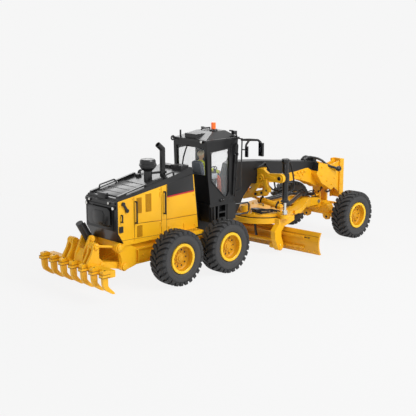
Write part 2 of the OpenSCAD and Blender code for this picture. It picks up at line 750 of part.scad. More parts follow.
module cab_roof() {
    z = eave_z + touch;
    lip = 0.6;
    color(black) {
        block([cab_x0 - lip, -cab_hw - 0.3, z], [cab_x1 + 1, cab_hw + 0.3, z + 1.2]);
        hull() {
            block([cab_x0 + 0.4, -cab_hw + 1, z + 1.2], [cab_x1 + 0.4, cab_hw - 1, z + 1.25]);
            block([27, -6.5, ridge_z - 0.1], [37, 6.5, ridge_z]);
        }
        // Cooler box, aerial and lifting eye at the back
        block([cab_x0 + 1.2, -3.6, z + 1], [27.5, 5.4, ridge_z - 0.8]);
        pin_z(cab_x0 + 1.6, 9.4, 0.5, z + 1, ridge_z + 0.6);
        translate([cab_x0 - 2.2, 11.6, z + 0.8]) rotate([90, 0, 0]) rotate_extrude() translate([1.1, 0]) circle(r = 0.4);
        bar([cab_x0 - 1.2, 11.6, z + 0.7], [cab_x0 + 1, 11.6, z + 0.7], 0.45);
        // Lamp at the rear corner
        pin_x(-10.4, z + 0.5, 0.9, cab_x0 - lip - 0.9, cab_x0);
        // Work lamps on bent arms at the front corners
        both() {
            tube([[cab_x1 + 0.3, 12.2, z + 1], [cab_x1 - 0.6, 12, z + 3.4], [cab_x1 - 2.4, 11.6, z + 4.6],
                [cab_x1 - 4.6, 11.2, z + 4.9]], 0.45);
            block([cab_x1 - 2.8, 10.8, z + 2.6], [cab_x1 - 0.4, 13, z + 4.6]);
        }
        // Rail beside the beacon
        tube([[28.4, 4, ridge_z - 0.2], [29, 4, ridge_z + 0.8], [35, 4, ridge_z + 0.8], [35.6, 4, ridge_z - 0.2]], 0.4);
    }
}

module beacon() {
    color("#FF6A10") translate([30.2, -4, ridge_z]) {
        cylinder(r = 1.9, h = 0.8);
        cylinder(r = 1.3, h = beacon_h);
    }
}

module cab_seat() {
    z = seat_z;
    color("#4A4F57") {
        pin_z(seat_x, 0, 2.2, cab_z, z + 4);
        block([seat_x - 3.6, -4.2, z + 4], [seat_x + 4, 4.2, z + 7]);
        across(-4, 4) polygon([
            [seat_x - 3.6, z + 7], [seat_x - 1.4, z + 7], [seat_x - 3, z + 18], [seat_x - 5, z + 18]]);
        both() block([seat_x - 2, 5.4, z + 9], [seat_x + 5, 7.8, z + 11]);
        both() block([seat_x - 2, 4.2, z + 5], [seat_x + 1, 6, z + 9]);
    }
}

module cab_controls() {
    z = cab_z;
    color(black) {
        both() pin_z(seat_x + 4, 6.5, 0.7, seat_z + 11, seat_z + 13.6);
        across(-1.6, 1.6) polygon([
            [seat_x + 7.2, z], [seat_x + 9.2, z], [seat_x + 10.4, z + 13], [seat_x + 8.4, z + 13]]);
        block([seat_x + 7.6, -3.6, z + 13], [seat_x + 10.6, 3.6, z + 16]);
    }
}

// Seated figure
module operator_figure() {
    z = seat_z + 7;
    color("#C8D400") {
        across(-2.8, 2.8) polygon([
            [seat_x - 1.3, z], [seat_x + 2, z], [seat_x + 0.6, z + 11], [seat_x - 2.4, z + 11]]);
        both() tube([[seat_x - 1, 3.2, z + 9.8], [seat_x + 2, 4.4, z + 6.2], [seat_x + 8.6, 4.6, z + 4]], 1.05);
        pin_z(seat_x - 0.8, 0, 1.1, z + 10.9, z + 12.6);
        translate([seat_x - 0.6, 0, z + 14.4]) sphere(r = 2.2);
        both() tube([[seat_x + 1, 1.9, z + 1.4], [seat_x + 7.6, 5, z + 1.4], [seat_x + 9, 5, z - 9.4]], 1.25);
    }
}

module mirrors() {
    arm_z = eave_z - 0.4;
    color(black) {
        both() {
            // Grab rail down the front post
            tube([[40.3, cab_hw + 0.3, arm_z + 0.8], [40.3, 16.4, arm_z + 0.8], [39.4, 16.4, 42], [38, cab_hw, 40]], 0.4);
            // Mirror arm and head
            tube([[40.3, 16.4, arm_z], [44, 25, arm_z + 0.4], [44.4, 27, arm_z - 1.8]], 0.42);
            translate([44.4, 27, arm_z]) block([-0.6, -1.5, -8.2], [0.7, 1.5, -0.8]);
            block([40.7, 18.2, arm_z - 9.2], [41.5, 20.2, arm_z - 3.2]);
            bar([40.2, 16.4, arm_z - 5.2], [41.1, 18.4, arm_z - 5.2], 0.35);
        }
    }
}

module cab_steps() {
    y0 = boom_hw + touch;
    z1 = cab_z - floor_t - touch;
    color(black) both() {
        // Tank and boxes beside the frame
        block([sill_x0 + 0.4, y0, 25], [24, 12, z1]);
        block([25.2, y0, 29], [33, 9.6, z1]);
        block([34.4, y0, 24], [41, 11, z1]);
        // Ladder
        for (x = [25.8, 31.8]) block([x, 9.6, 22], [x + 0.9, 12, z1]);
        for (z = [22, 25.6, 29]) block([25.8, 9.6, z], [32.7, 12, z + 0.8]);
        // Pipes down beside the tank
        for (x = [20.2, 22]) pin_z(x, 12.5, 0.6, 24.4, z1);
        // Grab loop behind the circle
        tube([[41, 10, 32], [45, 11.6, 32], [49.4, 12.4, 32], [50.6, 12.4, 31], [50.6, 12.4, 27], [49.4, 12.4, 26],
            [45, 11.6, 26], [41, 10, 26]], 0.5);
    }
}

module front_lamps() {
    foot_x = axle_x - 19;
    head = [axle_x + 5, 10.8, 41.4];
    color(black) {
        both() {
            tube([[foot_x + 1.5, 1.4, 49], [foot_x + 8, 3.4, 48.3], [foot_x + 16, 8, 47.9], [head[0] - 5.5, 10, 46.6],
                head + [0.4, -0.2, 0.6]], 0.4);
            translate(head) rotate([0, 90, 0]) cylinder(r = 1.5, h = 2.2);
        }
        block([foot_x, -1.6, line_z(boom_top[1], boom_top[2], foot_x) + touch], [foot_x + 3, 1.6, 49.6]);
    }
}

// Drawbar, circle and blade

module drawbar_ball() {
    color(steel) {
        pin_z(ball_x, 0, ball_pin_r, ball_z - 4.2, ball_z + 4.2);
        translate([ball_x, 0, ball_z]) sphere(r = 2.5);
        pin_y(ball_x, ball_z, ball_pin_r, -5, 5);
    }
}

module drawbar() {
    cheek_y0 = 2.9;
    cheek_y1 = 4.7;
    foot = [circle_x + 2.5, shift_pin[1]];
    color(yellow) difference() {
        union() {
            up(plate_z0, plate_z1) {
                translate([circle_x, 0]) circle(r = circle_r - 2);
                both() translate([lift_x, lift_y]) circle(r = 2.8);
                both() polygon([
                    [lift_x - 2.6, lift_y], [lift_x, lift_y + 2.8], [lift_x + 2.4, lift_y + 1.4], [plate_x1, 13],
                    [plate_x1, 6], [circle_x, 6]]);
            }
            // Legs that meet at the ball
            intersection() {
                up(15, 30) both() polygon([
                    [leg_x - 6, 19], [leg_x, 19], [leg_at(0.765), cheek_y1], [ball_x + 2.4, cheek_y1],
                    [ball_x + 2.4, cheek_y0], [leg_at(0.676), cheek_y0], [leg_x, 11], [leg_x - 6, 11]]);
                across(-30, 30) polygon([
                    [leg_x - 6, plate_z0], [leg_at(0.147), plate_z0], [leg_at(0.412), plate_z0 + 0.4],
                    [leg_at(0.647), ball_z - 1.8], [ball_x, ball_z - 2.2], [ball_x + 2.2, ball_z - 1],
                    [ball_x + 2.2, ball_z + 1], [ball_x, ball_z + 2.2], [leg_at(0.647), ball_z + 4],
                    [leg_at(0.529), ball_z + 4.4], [leg_x + 2, plate_z1 + 0.6], [leg_x - 6, plate_z1]]);
            }
            // Guide ring that runs inside the circle
            translate([circle_x, 0, circle_z - 2.2]) difference() {
                cylinder(r = circle_in - run_gap, h = plate_z0 - circle_z + 2.3);
                translate([0, 0, -1]) cylinder(r = circle_in - 2.4, h = 10);
            }
            // Circle drive with its motor
            pin_z(circle_x - 13.5, 0, 3, plate_z1 - 0.5, plate_z1 + 4);
            block([circle_x - 14.4, 1.6, plate_z1 - 0.5], [circle_x - 9.4, 6, plate_z1 + 2.4]);
            // Pin block of the shift cylinder
            translate([foot[0], foot[1], 0]) block([-1.6, -1.3, plate_z1 - 0.5], [1.6, 1.3, plate_z1 + 0.4]);
        }
        pin_y(ball_x, ball_z, ball_pin_r + run_gap, -10, 10);
    }
}

module drawbar_hoses() {
    color(black) both() tube([[leg_x - 4, 10, 24.6], [leg_at(0.176), 7.2, 25.4], [leg_at(0.5), 3.6, 27]], 1.1);
}

module turned() {
    translate([circle_x, 0, 0]) rotate(blade_yaw) children();
}

module circle_ring() {
    color(yellow) turned() {
        translate([0, 0, circle_z - 3]) difference() {
            cylinder(r = circle_r, h = 3);
            translate([0, 0, -1]) cylinder(r = circle_in, h = 5);
        }
        both() difference() {
            across(arm_y0, arm_y1) {
                polygon([
                    [-9, circle_z - 3], [6, circle_z - 3], [-4, 15.6], [-6.6, 13], [-6.6, 10], [-4.6, 5.6],
                    [-9.2, 2.6], [-12.6, 9], [-13, 14]]);
                translate(arm_pin) circle(r = 2.6);
                polygon([[-9, circle_z], [6, circle_z], [6, circle_z - 3.1], [-9, circle_z - 3.1]]);
            }
            pin_y(arm_pin[0], arm_pin[1], 1 + run_gap, 0, 40);
        }
    }
}

module blade_profile(r, t) {
    mid = blade_z + blade_h / 2;
    intersection() {
        translate([blade_back + blade_r, mid]) difference() {
            circle(r = r);
            circle(r = r - t);
        }
        translate([blade_back - 3, blade_z]) square([8, blade_h]);
    }
}

module moldboard() {
    color(yellow) turned() {
        across(-blade_l / 2, blade_l / 2) blade_profile(blade_r, blade_t);
        for (z = [blade_z + 3, blade_z + blade_h - 4]) across(-blade_l / 2 + 10, blade_l / 2 - 10)
            translate([blade_back - 1.2, z]) square([2, 1.2]);
    }
}

module blade_carrier() {
    color(yellow) turned() {
        both() {
            across(13.6, arm_y0 - face_gap) polygon([
                arm_pin + [-1.8, -1.2], arm_pin + [0, -2], [blade_back - 1.6, blade_z + 2], [blade_back - 1.6, 12],
                [blade_back - 3, 12], [-5.6, 7.6], arm_pin + [-1.8, 1.2]]);
            pin_y(arm_pin[0], arm_pin[1], 1, 13.6, arm_y1 + 0.4);
        }
        pin_y(-5.2, 6.4, 1.1, -13.7, 13.7);
    }
}

// Cylinders

module lift_barrel(side) {
    color(black) translate([lift_x, side * lift_y, 0]) {
        difference() {
            union() {
                pin_z(0, 0, lift_r, 30, 54.6);
                pin_z(0, 0, lift_r + 0.3, 54, 56);
                pin_z(0, 0, lift_r + 0.25, 30, 31.6);
                pin_x(0, trunnion_z, trunnion_r, saddle_x - 1.6 - lift_x, 0);
            }
            pin_z(0, 0, rod_r + run_gap, 29, 52);
        }
    }
}

module lift_rod(side) {
    color(steel) translate([lift_x, side * lift_y, 0]) {
        pin_z(0, 0, rod_r, lug_z + face_gap, 42);
        pin_z(0, 0, 1.6, lug_z + face_gap, lug_z + 2.4);
    }
}

// Frame that looks along the shift cylinder, from its pin to the saddle
module along_shift() {
    d = shift_ball - shift_pin;
    h = norm(d);
    translate(shift_pin) rotate([0, acos(d[2] / h), atan2(d[1], d[0])]) children();
}

module shift_barrel() {
    color(yellow) along_shift() {
        difference() {
            cylinder(r = 1.7, h = 14);
            translate([0, 0, 1.5]) cylinder(r = 0.8 + run_gap, h = 20);
        }
        // Cross pin at the foot
        rotate([90, 0, 0]) translate([0, 0, -shift_pin_l / 2]) cylinder(r = 0.7, h = shift_pin_l);
    }
}

module shift_rod() {
    reach = norm(shift_ball - shift_pin);
    color(steel) along_shift() {
        translate([0, 0, 6]) cylinder(r = 0.8, h = reach - 8.6);
    }
}

// Front axle

module axle_beam() {
    color(yellow) difference() {
        union() {
            along(axle_x - 2.4, axle_x + 2.4) polygon([
                [-9, 13], [-6, 12], [6, 12], [9, 13], [10.4, 15], [8, 18.6], [3, 20], [-3, 20], [-8, 18.6], [-10.4, 15]]);
            both() along(axle_x - 1.5, axle_x + 1.5) {
                translate([lean_y, lean_z]) circle(r = lean_r);
                polygon([[9, 12], [lean_y, lean_z - lean_r], [lean_y, lean_z + lean_r], [9, 16]]);
            }
        }
        pin_x(0, axle_pivot_z, 1.5 + run_gap, axle_x - 10, axle_x + 10);
        both() pin_x(lean_y, lean_z, 1.1 + run_gap, axle_x - 10, axle_x + 10);
    }
}

module lean_yoke(side) {
    color(yellow) mirror([0, side > 0 ? 0 : 1, 0]) {
        // Cheeks each side of the beam's end, with the lean pin
        for (x = [axle_x - 3, axle_x + 1.5 + face_gap]) along(x, x + 3 - 1.5 - face_gap) {
            translate([lean_y, lean_z]) circle(r = lean_r);
            translate([lean_y, lean_z - lean_r]) square([2.2, 2 * lean_r]);
        }
        pin_x(lean_y, lean_z, 1.1, axle_x - 3, axle_x + 3);
        block([axle_x - 2.6, lean_y + 2, king_z0], [axle_x + 2.6, lean_y + 2.7, king_z1]);
        for (z = [king_z0, king_z1 - 1.2]) up(z, z + 1.2) {
            translate([axle_x, king_y]) circle(r = 1.8);
            translate([axle_x - 1.8, lean_y + 2.2]) square([3.6, king_y - lean_y - 2.2]);
        }
        pin_z(axle_x, king_y, king_r, king_z0, king_z1);
        // Ear for the lean bar
        block([axle_x + 2, lean_y + 1, king_z1 - 1.2], [axle_x + bar_ear, lean_y + 2.7, king_z1 + 1.2]);
    }
}

module knuckle(side) {
    z0 = king_z0 + 1.2 + face_gap;
    z1 = king_z1 - 1.2 - face_gap;
    color(yellow) {
        mirror([0, side > 0 ? 0 : 1, 0]) difference() {
            union() {
                pin_z(axle_x, king_y, 1.9, z0, z1);
                up(z0, z0 + 1.6) {
                    translate([axle_x, king_y - 0.75]) square([steer_arm, 1.5]);
                    translate([axle_x + steer_arm, king_y]) circle(r = 0.9);
                }
                translate([axle_x, king_y + 1.4, wheel_z]) rotate([-90, 0, 0]) cylinder(r = stub_r, h = wheel_y + 1.4 - king_y - 1.4);
            }
            pin_z(axle_x, king_y, king_r + run_gap, z0 - 1, z1 + 1);
        }
    }
}

module tie_rod() {
    z = king_z0 + 1.2 + face_gap + 0.8;
    color(yellow) pin_y(axle_x + steer_arm + 0.9 + face_gap + 0.8, z, 0.8, -king_y + 0.3, king_y - 0.3);
}

module lean_bar() {
    color(yellow) pin_y(axle_x + bar_ear + face_gap + 0.8, king_z1, 0.8, -lean_y - 2.6, lean_y + 2.6);
}

// Ripper

module ripper_link() {
    y1 = ear_y - face_gap;
    slot = 3.2;
    color(yellow) difference() {
        union() {
            both() across(slot, y1) {
                translate(lower_pin) circle(r = 2.2);
                translate(beam_pin) circle(r = 1.6);
                polygon([lower_pin + [0, 2], lower_pin + [0, -1.9], beam_pin + [0, -1.4], beam_pin + [0, 1.4]]);
            }
            // Plate between the two sides, behind the rod
            across(-slot - 0.1, slot + 0.1) polygon([
                beam_pin + [1.4, -1], beam_pin + [2.7, -1.1], beam_pin + [2.7, 0.7], beam_pin + [1.4, 0.8]]);
        }
        for (p = [lower_pin, beam_pin]) pin_y(p[0], p[1], link_pin_r + run_gap, -30, 30);
    }
}

module ripper_top_link() {
    y0 = ear_y - 1.9;
    y1 = ear_y - face_gap;
    mid = (y0 + y1) / 2;
    color(yellow) both() difference() {
        union() {
            for (p = [upper_pin, tower_pin]) pin_y(p[0], p[1], 2, y0, y1);
            bar([upper_pin[0], mid, upper_pin[1]], [tower_pin[0], mid, tower_pin[1]], 0.75);
        }
        for (p = [upper_pin, tower_pin]) pin_y(p[0], p[1], link_pin_r + run_gap, 0, 30);
    }
}

// One shank with its pocket and collar, behind the beam
module shank() {
    half = shank_t / 2;
    across(-half - 0.3, half + 0.3) translate([shank_x, 0]) polygon([
        [-4, 14], [0.2, 14], [0.2, 16.4], [-0.6, 16.9], [-4, 16.6]]);
    block([ripper_x0, -half - 0.6, 13.5], [shank_x + 0.3, half + 0.6, 14.9]);
    across(-half, half) translate([shank_x, 0]) polygon([
        [-4, 14], [-3.6, 9.7], [-2.8, 7.5], [-1.2, 6.2], [1.8, 4.3], [3.4, tip_z], [3, 5], [0.4, 7.5], [-0.7, 8.9],
        [-0.8, 14]]);
}

module ripper_beam() {
    end_y = ripper_hw - 0.8;
    step = 2 * end_y / (shanks - 1);
    plate_y1 = ear_y + 1.3;
    inner_y0 = ear_y - 3.4;
    cheek_y0 = 2.3;
    cheek_y1 = 3.5;
    color(yellow) difference() {
        union() {
            block([shank_x, -end_y - 0.6, 12.6], [shank_x + 4, end_y + 0.6, 16]);
            both() {
                // Tower plates, the outer ones reaching forward to the link
                across(ear_y, plate_y1) {
                    translate(tower_pin) circle(r = 1.9);
                    translate(beam_pin) circle(r = 2);
                    polygon([
                        [shank_x, 12.8], [shank_x - 1.6, 17.2], [shank_x + 1.2, 21.4], [shank_x + 2.4, 24.4],
                        tower_pin + [1.6, -0.4], tower_pin + [1.5, -5.8], beam_pin + [1.4, 1.4], beam_pin + [1.4, -1.2],
                        [shank_x + 4.8, 12.7]]);
                }
                across(inner_y0, inner_y0 + 1.2) {
                    translate(tower_pin) circle(r = 1.9);
                    polygon([
                        [shank_x + 0.2, 15], [shank_x - 1.2, 17.2], [shank_x + 1.6, 21.4], [shank_x + 2.4, 24.4],
                        tower_pin + [1.6, -0.4], tower_pin + [0.6, -5.8], [shank_x + 3.8, 15]]);
                }
                // Pins that hold the links
                pin_y(tower_pin[0], tower_pin[1], link_pin_r, inner_y0 + 0.5, plate_y1 + 0.5);
                pin_y(beam_pin[0], beam_pin[1], link_pin_r, ear_y - 2.2, plate_y1 + 0.5);
                // Cheeks that carry the cylinder
                across(cheek_y0, cheek_y1) {
                    translate(ripper_trunnion) circle(r = 1.9);
                    polygon([
                        [shank_x + 0.4, 15], [shank_x + 3.8, 15], [shank_x + 4.6, 17.4], ripper_trunnion + [1.6, -0.8],
                        ripper_trunnion + [-1.5, 1], [shank_x + 1.6, 20.4]]);
                }
            }
            // Sloping plate between the cheeks
            across(-cheek_y0 - 0.1, cheek_y0 + 0.1) polygon([
                [shank_x + 0.4, 15], [shank_x + 1.8, 15], [shank_x + 4.6, 21.6], [shank_x + 3.6, 22.2], [shank_x + 1.6, 19.4]]);
            for (i = [0:shanks - 1]) translate([0, -end_y + i * step, 0]) shank();
        }
        pin_y(ripper_trunnion[0], ripper_trunnion[1], 1 + run_gap, -10, 10);
    }
}

module along_ripper() {
    d = ripper_eye - ripper_trunnion;
    translate([ripper_trunnion[0], 0, ripper_trunnion[1]]) rotate([0, 90 - atan2(d[1], d[0]), 0]) children();
}

module ripper_barrel() {
    color(black) {
        along_ripper() difference() {
            translate([0, 0, -10]) cylinder(r = 1.9, h = 15);
            translate([0, 0, -8]) cylinder(r = 0.8 + run_gap, h = 20);
        }
        both() pin_y(ripper_trunnion[0], ripper_trunnion[1], 1, 1.6, 3.8);
    }
}

module ripper_rod() {
    reach = norm(ripper_eye - ripper_trunnion);
    color(steel) along_ripper() {
        translate([0, 0, -2]) cylinder(r = 0.8, h = reach + 2);
    }
}

module placed() {
    translate([-centre_x, 0, 0]) children();
}

placed() rear_chassis();
placed() hood_panels();
placed() hood_top();
placed() rear_grille();
placed() exhaust_stack();
placed() air_cleaner();
placed() hood_fittings();
placed() tandem_case(1);  // tandem_case_left
placed() tandem_case(-1);  // tandem_case_right
placed() at_wheel(-half_pitch, 1) tyre();  // tyre_rear_left
placed() at_wheel(-half_pitch, -1) tyre();  // tyre_rear_right
placed() at_wheel(half_pitch, 1) tyre();  // tyre_mid_left
placed() at_wheel(half_pitch, -1) tyre();  // tyre_mid_right
placed() at_wheel(axle_x, 1) tyre();  // tyre_front_left
placed() at_wheel(axle_x, -1) tyre();  // tyre_front_right
placed() at_wheel(-half_pitch, 1) rim();  // rim_rear_left
placed() at_wheel(-half_pitch, -1) rim();  // rim_rear_right
placed() at_wheel(half_pitch, 1) rim();  // rim_mid_left
placed() at_wheel(half_pitch, -1) rim();  // rim_mid_right
placed() at_wheel(axle_x, 1) rim();  // rim_front_left
placed() at_wheel(axle_x, -1) rim();  // rim_front_right
placed() boom();
placed() push_plate();
placed() saddle();
placed() cab_floor();
placed() cab_frame();
placed() cab_doors();
placed() cab_roof();
placed() cab_glass();
placed() cab_seat();
placed() cab_controls();
placed() operator_figure();
placed() beacon();
placed() mirrors();
placed() cab_steps();
placed() front_lamps();
placed() drawbar_ball();
placed() drawbar();
placed() drawbar_hoses();
placed() circle_ring();  // circle
placed() blade_carrier();
placed() moldboard();
placed() lift_barrel(1);  // lift_barrel_left
placed() lift_barrel(-1);  // lift_barrel_right
placed() lift_rod(1);  // lift_rod_left
placed() lift_rod(-1);  // lift_rod_right
placed() shift_barrel();
placed() shift_rod();
placed() axle_beam();
placed() lean_yoke(1);  // lean_yoke_left
placed() lean_yoke(-1);  // lean_yoke_right
placed() knuckle(1);  // knuckle_left
placed() knuckle(-1);  // knuckle_right
placed() tie_rod();
placed() lean_bar();
placed() ripper_link();
placed() ripper_top_link();
placed() ripper_beam();
placed() ripper_barrel();
placed() ripper_rod();
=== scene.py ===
import json
import math

import bmesh
import bpy
from mathutils import Matrix, Vector


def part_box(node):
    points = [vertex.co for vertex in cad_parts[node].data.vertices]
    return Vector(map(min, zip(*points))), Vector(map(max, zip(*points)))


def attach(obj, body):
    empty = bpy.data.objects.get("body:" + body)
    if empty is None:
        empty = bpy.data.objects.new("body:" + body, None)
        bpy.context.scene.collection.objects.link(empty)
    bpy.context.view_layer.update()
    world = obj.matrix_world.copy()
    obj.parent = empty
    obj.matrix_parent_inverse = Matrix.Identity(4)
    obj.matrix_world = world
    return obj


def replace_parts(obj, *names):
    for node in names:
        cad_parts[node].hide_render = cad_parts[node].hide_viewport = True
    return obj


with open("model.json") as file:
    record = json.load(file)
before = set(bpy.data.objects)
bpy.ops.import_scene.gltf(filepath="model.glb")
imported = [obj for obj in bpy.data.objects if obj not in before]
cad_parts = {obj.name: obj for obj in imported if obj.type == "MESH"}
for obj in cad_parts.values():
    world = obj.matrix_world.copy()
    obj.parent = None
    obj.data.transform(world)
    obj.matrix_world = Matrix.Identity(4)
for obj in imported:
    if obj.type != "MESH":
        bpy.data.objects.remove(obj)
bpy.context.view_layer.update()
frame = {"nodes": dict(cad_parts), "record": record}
nodes = frame["nodes"]
bodyOf = {name: body for body, names in frame["record"]["behaviour"]["bodies"].items() for name in names}
mm = 0.001
caseLow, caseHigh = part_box("tandem_case_left")
midTandem = (caseLow.x + caseHigh.x) / 2  # places along the machine count from here
sideNames = {1: "left", -1: "right"}  # the left side is at positive y
print("stage: frame loaded,", len(nodes), "nodes")


def at(x, y, z):  # a place in millimetres from mid-tandem
    return Vector((midTandem + x * mm, y * mm, z * mm))


def routed(routes):  # routes as they are written
    return [[at(*p) for p in route] for route in routes]


def mirrored(routes):  # each route on the left and on the right
    return [[at(x, side * y, z) for x, y, z in route] for route in routes for side in sideNames]


def flipped(outline, side):  # an outline in y and z, on one side
    return [(side * y, z) for y, z in outline]


def wholeOutline(half):  # the left half of an outline in y and z, closed by its mirror image
    return half + flipped(reversed(half), -1)


def spaced(low, high, pitch):  # middles of the steps that fit between two ends
    return [low + (i + 0.5) * pitch for i in range(int((high - low) / pitch))]


def around(steps):  # angles of a full turn
    return [2 * math.pi * i / steps for i in range(steps)]


def span(node):  # a node's box in millimetres from mid-tandem
    low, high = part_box(node)
    shift = Vector((midTandem, 0, 0))
    return (low - shift) / mm, (high - shift) / mm


def linear(code):  # a hex colour as linear numbers
    parts = [int(code[i:i + 2], 16) / 255 for i in (0, 2, 4)]
    return tuple(p / 12.92 if p < 0.04045 else ((p + 0.055) / 1.055) ** 2.4 for p in parts) + (1.0,)


def operator(operation, swapped=False):  # one overloaded operator of Sock
    def apply(self, other=0.0):
        pair = (other, self) if swapped else (self, other)
        return self.maths(operation, *pair)
    return apply


class Sock:  # wraps one socket, so that node trees are written as expressions
    __add__ = operator("ADD")
    __radd__ = operator("ADD", swapped=True)
    __sub__ = operator("SUBTRACT")
    __rsub__ = operator("SUBTRACT", swapped=True)
    __mul__ = operator("MULTIPLY")
    __rmul__ = operator("MULTIPLY", swapped=True)
    __truediv__ = operator("DIVIDE")
    __gt__ = operator("GREATER_THAN")
    __lt__ = operator("LESS_THAN")
    __abs__ = operator("ABSOLUTE")

    def __init__(self, tree, out=None):
        self.tree = tree
        self.out = out

    def add(self, kind, settings=None, values=None, pick=0):  # any node: settings first, then sockets
        made = self.tree.nodes.new(kind)
        for name, value in (settings or {}).items():
            setattr(made, name, value)
        for key, value in (values or {}).items():
            if isinstance(value, Sock):
                self.tree.links.new(value.out, made.inputs[key])
            else:
                made.inputs[key].default_value = value
        return Sock(self.tree, made.outputs[pick] if len(made.outputs) else None)

    def side(self, name):  # another output of the same node
        return Sock(self.tree, self.out.node.outputs[name])

    def maths(self, operation, a, b=0.0):
        return self.add("ShaderNodeMath", {"operation": operation}, {0: a, 1: b})

    def union(self, other):  # one where either mask is one
        return self + other - self * other

    def ramp(self, low, high, first=0.0, last=1.0):  # smooth step of this value
        return self.add("ShaderNodeMapRange", {"interpolation_type": "SMOOTHSTEP"},
                        {"Value": self, "From Min": low, "From Max": high, "To Min": first, "To Max": last})

    def colour(self, a, b):  # this value mixes two colours
        return self.add("ShaderNodeMix", {"data_type": "RGBA"}, {0: self, 6: a, 7: b}, 2)


def emptyTree(owner):  # the cleared node tree of a material or world
    owner.use_nodes = True
    owner.node_tree.nodes.clear()
    return Sock(owner.node_tree)


def makeMaterial(name, build):  # build gives a shader, or the values of a Principled one
    material = bpy.data.materials.new(name)
    root = emptyTree(material)
    given = build(root)
    shader = given if isinstance(given, Sock) else root.add("ShaderNodeBsdfPrincipled", {}, given)
    root.add("ShaderNodeOutputMaterial", {}, {"Surface": shader})
    return material


def objectPlace(root):
    return root.add("ShaderNodeTexCoord", pick="Object")


def noise(root, place, scale, detail=2.0):
    return root.add("ShaderNodeTexNoise", {}, {"Vector": place, "Scale": scale, "Detail": detail})


def grainBump(root, height, strength, distance):
    return root.add("ShaderNodeBump", {}, {"Height": height, "Strength": strength, "Distance": distance * mm})


# Finishes: a cloudy colour, a cloudy roughness and a fine grain
coating = {"cloud": 70.0, "cloudDetail": 3.0, "spread": (0.3, 0.7), "roughSpread": 0.12, "fine": 2600.0,
           "depth": 0.02, "specular": 0.35}


def clouded(root, place, shade, code):
    cloud = noise(root, place, coating["cloud"], coating["cloudDetail"])
    return cloud, cloud.ramp(*coating["spread"]).colour(linear(shade), linear(code))


def fineGrain(root, place, strength):
    return grainBump(root, noise(root, place, coating["fine"]), strength, coating["depth"])


def paint(name, code, shade, roughness, coat=0.0, metallic=0.0, grain=0.25):
    def build(root):
        place = objectPlace(root)
        cloud, colour = clouded(root, place, shade, code)
        return {
            "Base Color": colour,
            "Roughness": roughness + (cloud - 0.5) * coating["roughSpread"],
            "Metallic": metallic,
            "Coat Weight": coat,
            "Specular IOR Level": coating["specular"],
            "Normal": fineGrain(root, place, grain),
        }
    return makeMaterial(name, build)


yellowPaint = paint("yellowPaint", "F6B91E", "EFB11A", 0.42, coat=0.08)
# The rim is one yellow painted as two copies: a lighter one on the lip for painted light, a darker one in the
# dish for painted shade.
rimPaint = paint("rimPaint", "F8C622", "F0BC1C", 0.38, coat=0.1)
dishPaint = paint("dishPaint", "D69A12", "C88E10", 0.45)
# The blade's darker yellow is painted shade on its rear-facing side.
bladePaint = paint("bladePaint", "E0A21A", "D69A16", 0.4, coat=0.08)
# The mesh bars' darker yellow is painted shade of the recessed grille.
meshPaint = paint("meshPaint", "CF9A1A", "BE8A14", 0.5)
blackPaint = paint("blackPaint", "1F1F20", "1A1A1B", 0.3, coat=0.15)
cabPaint = paint("cabPaint", "171718", "131314", 0.3, coat=0.08)
# Hose black; it also colours dark discs, dashes and a ring that are painted shade in holes, slots and a gap.
hosePaint = paint("hosePaint", "1E1E1F", "19191A", 0.5, grain=0.6)
chromeRod = paint("chromeRod", "E6E6E2", "D6D6D2", 0.16, metallic=1.0, grain=0.05)
castSteel = paint("castSteel", "8E8F8C", "7C7D7A", 0.4, metallic=0.7)
seatPlastic = paint("seatPlastic", "50565F", "474C55", 0.5)
whiteLens = paint("whiteLens", "F2F2EE", "E6E6E2", 0.12, coat=0.6)
redPaint = paint("redPaint", "C8202E", "B81C28", 0.36, coat=0.2)
vestPaint = paint("vestPaint", "DDE81C", "D0DC18", 0.55)
trouserPaint = paint("trouserPaint", "FF7448", "F46A40", 0.55)
skinPaint = paint("skinPaint", "D9AE8A", "D0A480", 0.5)
pipingPaint = paint("pipingPaint", "8C92A4", "828898", 0.5)
consolePaint = paint("consolePaint", "A6ABB0", "9A9FA4", 0.5)
mirrorPaint = paint("mirrorPaint", "34363A", "2C2E32", 0.1, metallic=1.0, grain=0.02)
seamPaint = paint("seamPaint", "7A5410", "6C4A0E", 0.6)
capPaint = paint("capPaint", "DCCFAC", "D2C5A2", 0.5)

# Boom: black behind and on top, down to a wavy edge along its flank
boomBand = {
    "allBlack": 72.0, "rear": 76.0, "step": 98.0, "crown": 112.0, "front": 117.4,
    "low": 41.0, "middle": 42.9, "high": 43.8, "dip": 2.2,
    "crownLow": 44.6, "crownFront": 121.6, "crownHalf": span("boom")[1].y - 0.08,
    "black": "1B1B1C", "yellow": "F9BA1C", "shade": "F2B016",
    "roughness": 0.38, "blackRougher": 0.04, "grain": 0.25,
}


def buildBoomPaint(root):
    b = boomBand
    place = objectPlace(root)
    axes = root.add("ShaderNodeSeparateXYZ", {}, {"Vector": place})
    x = (axes - midTandem) / mm
    z = axes.side("Z") / mm
    rise = x.ramp(b["rear"], b["step"], 0, b["middle"] - b["low"])
    swell = x.ramp(b["step"], b["crown"], 0, b["high"] - b["middle"])
    dip = x.ramp(b["crown"], b["front"], 0, b["dip"])
    band = (z > b["low"] + rise + swell - dip) * (x < b["front"])
    inner = abs(axes.side("Y")) / mm < b["crownHalf"]
    crown = (z > b["crownLow"]) * (x < b["crownFront"]) * inner
    black = band.union(crown).union(x < b["allBlack"])
    yellow = clouded(root, place, b["shade"], b["yellow"])[1]
    return {
        "Base Color": black.colour(yellow, linear(b["black"])),
        "Roughness": b["roughness"] + black * b["blackRougher"],
        "Specular IOR Level": coating["specular"],
        "Normal": fineGrain(root, place, b["grain"]),
    }


def buildGlass(root):
    return {"Base Color": linear("E9EEF0"), "Roughness": 0.04, "Alpha": 0.07, "Specular IOR Level": 0.5}


amber = {"deep": "FF5A0A", "pale": "FF7414", "patches": 300.0}


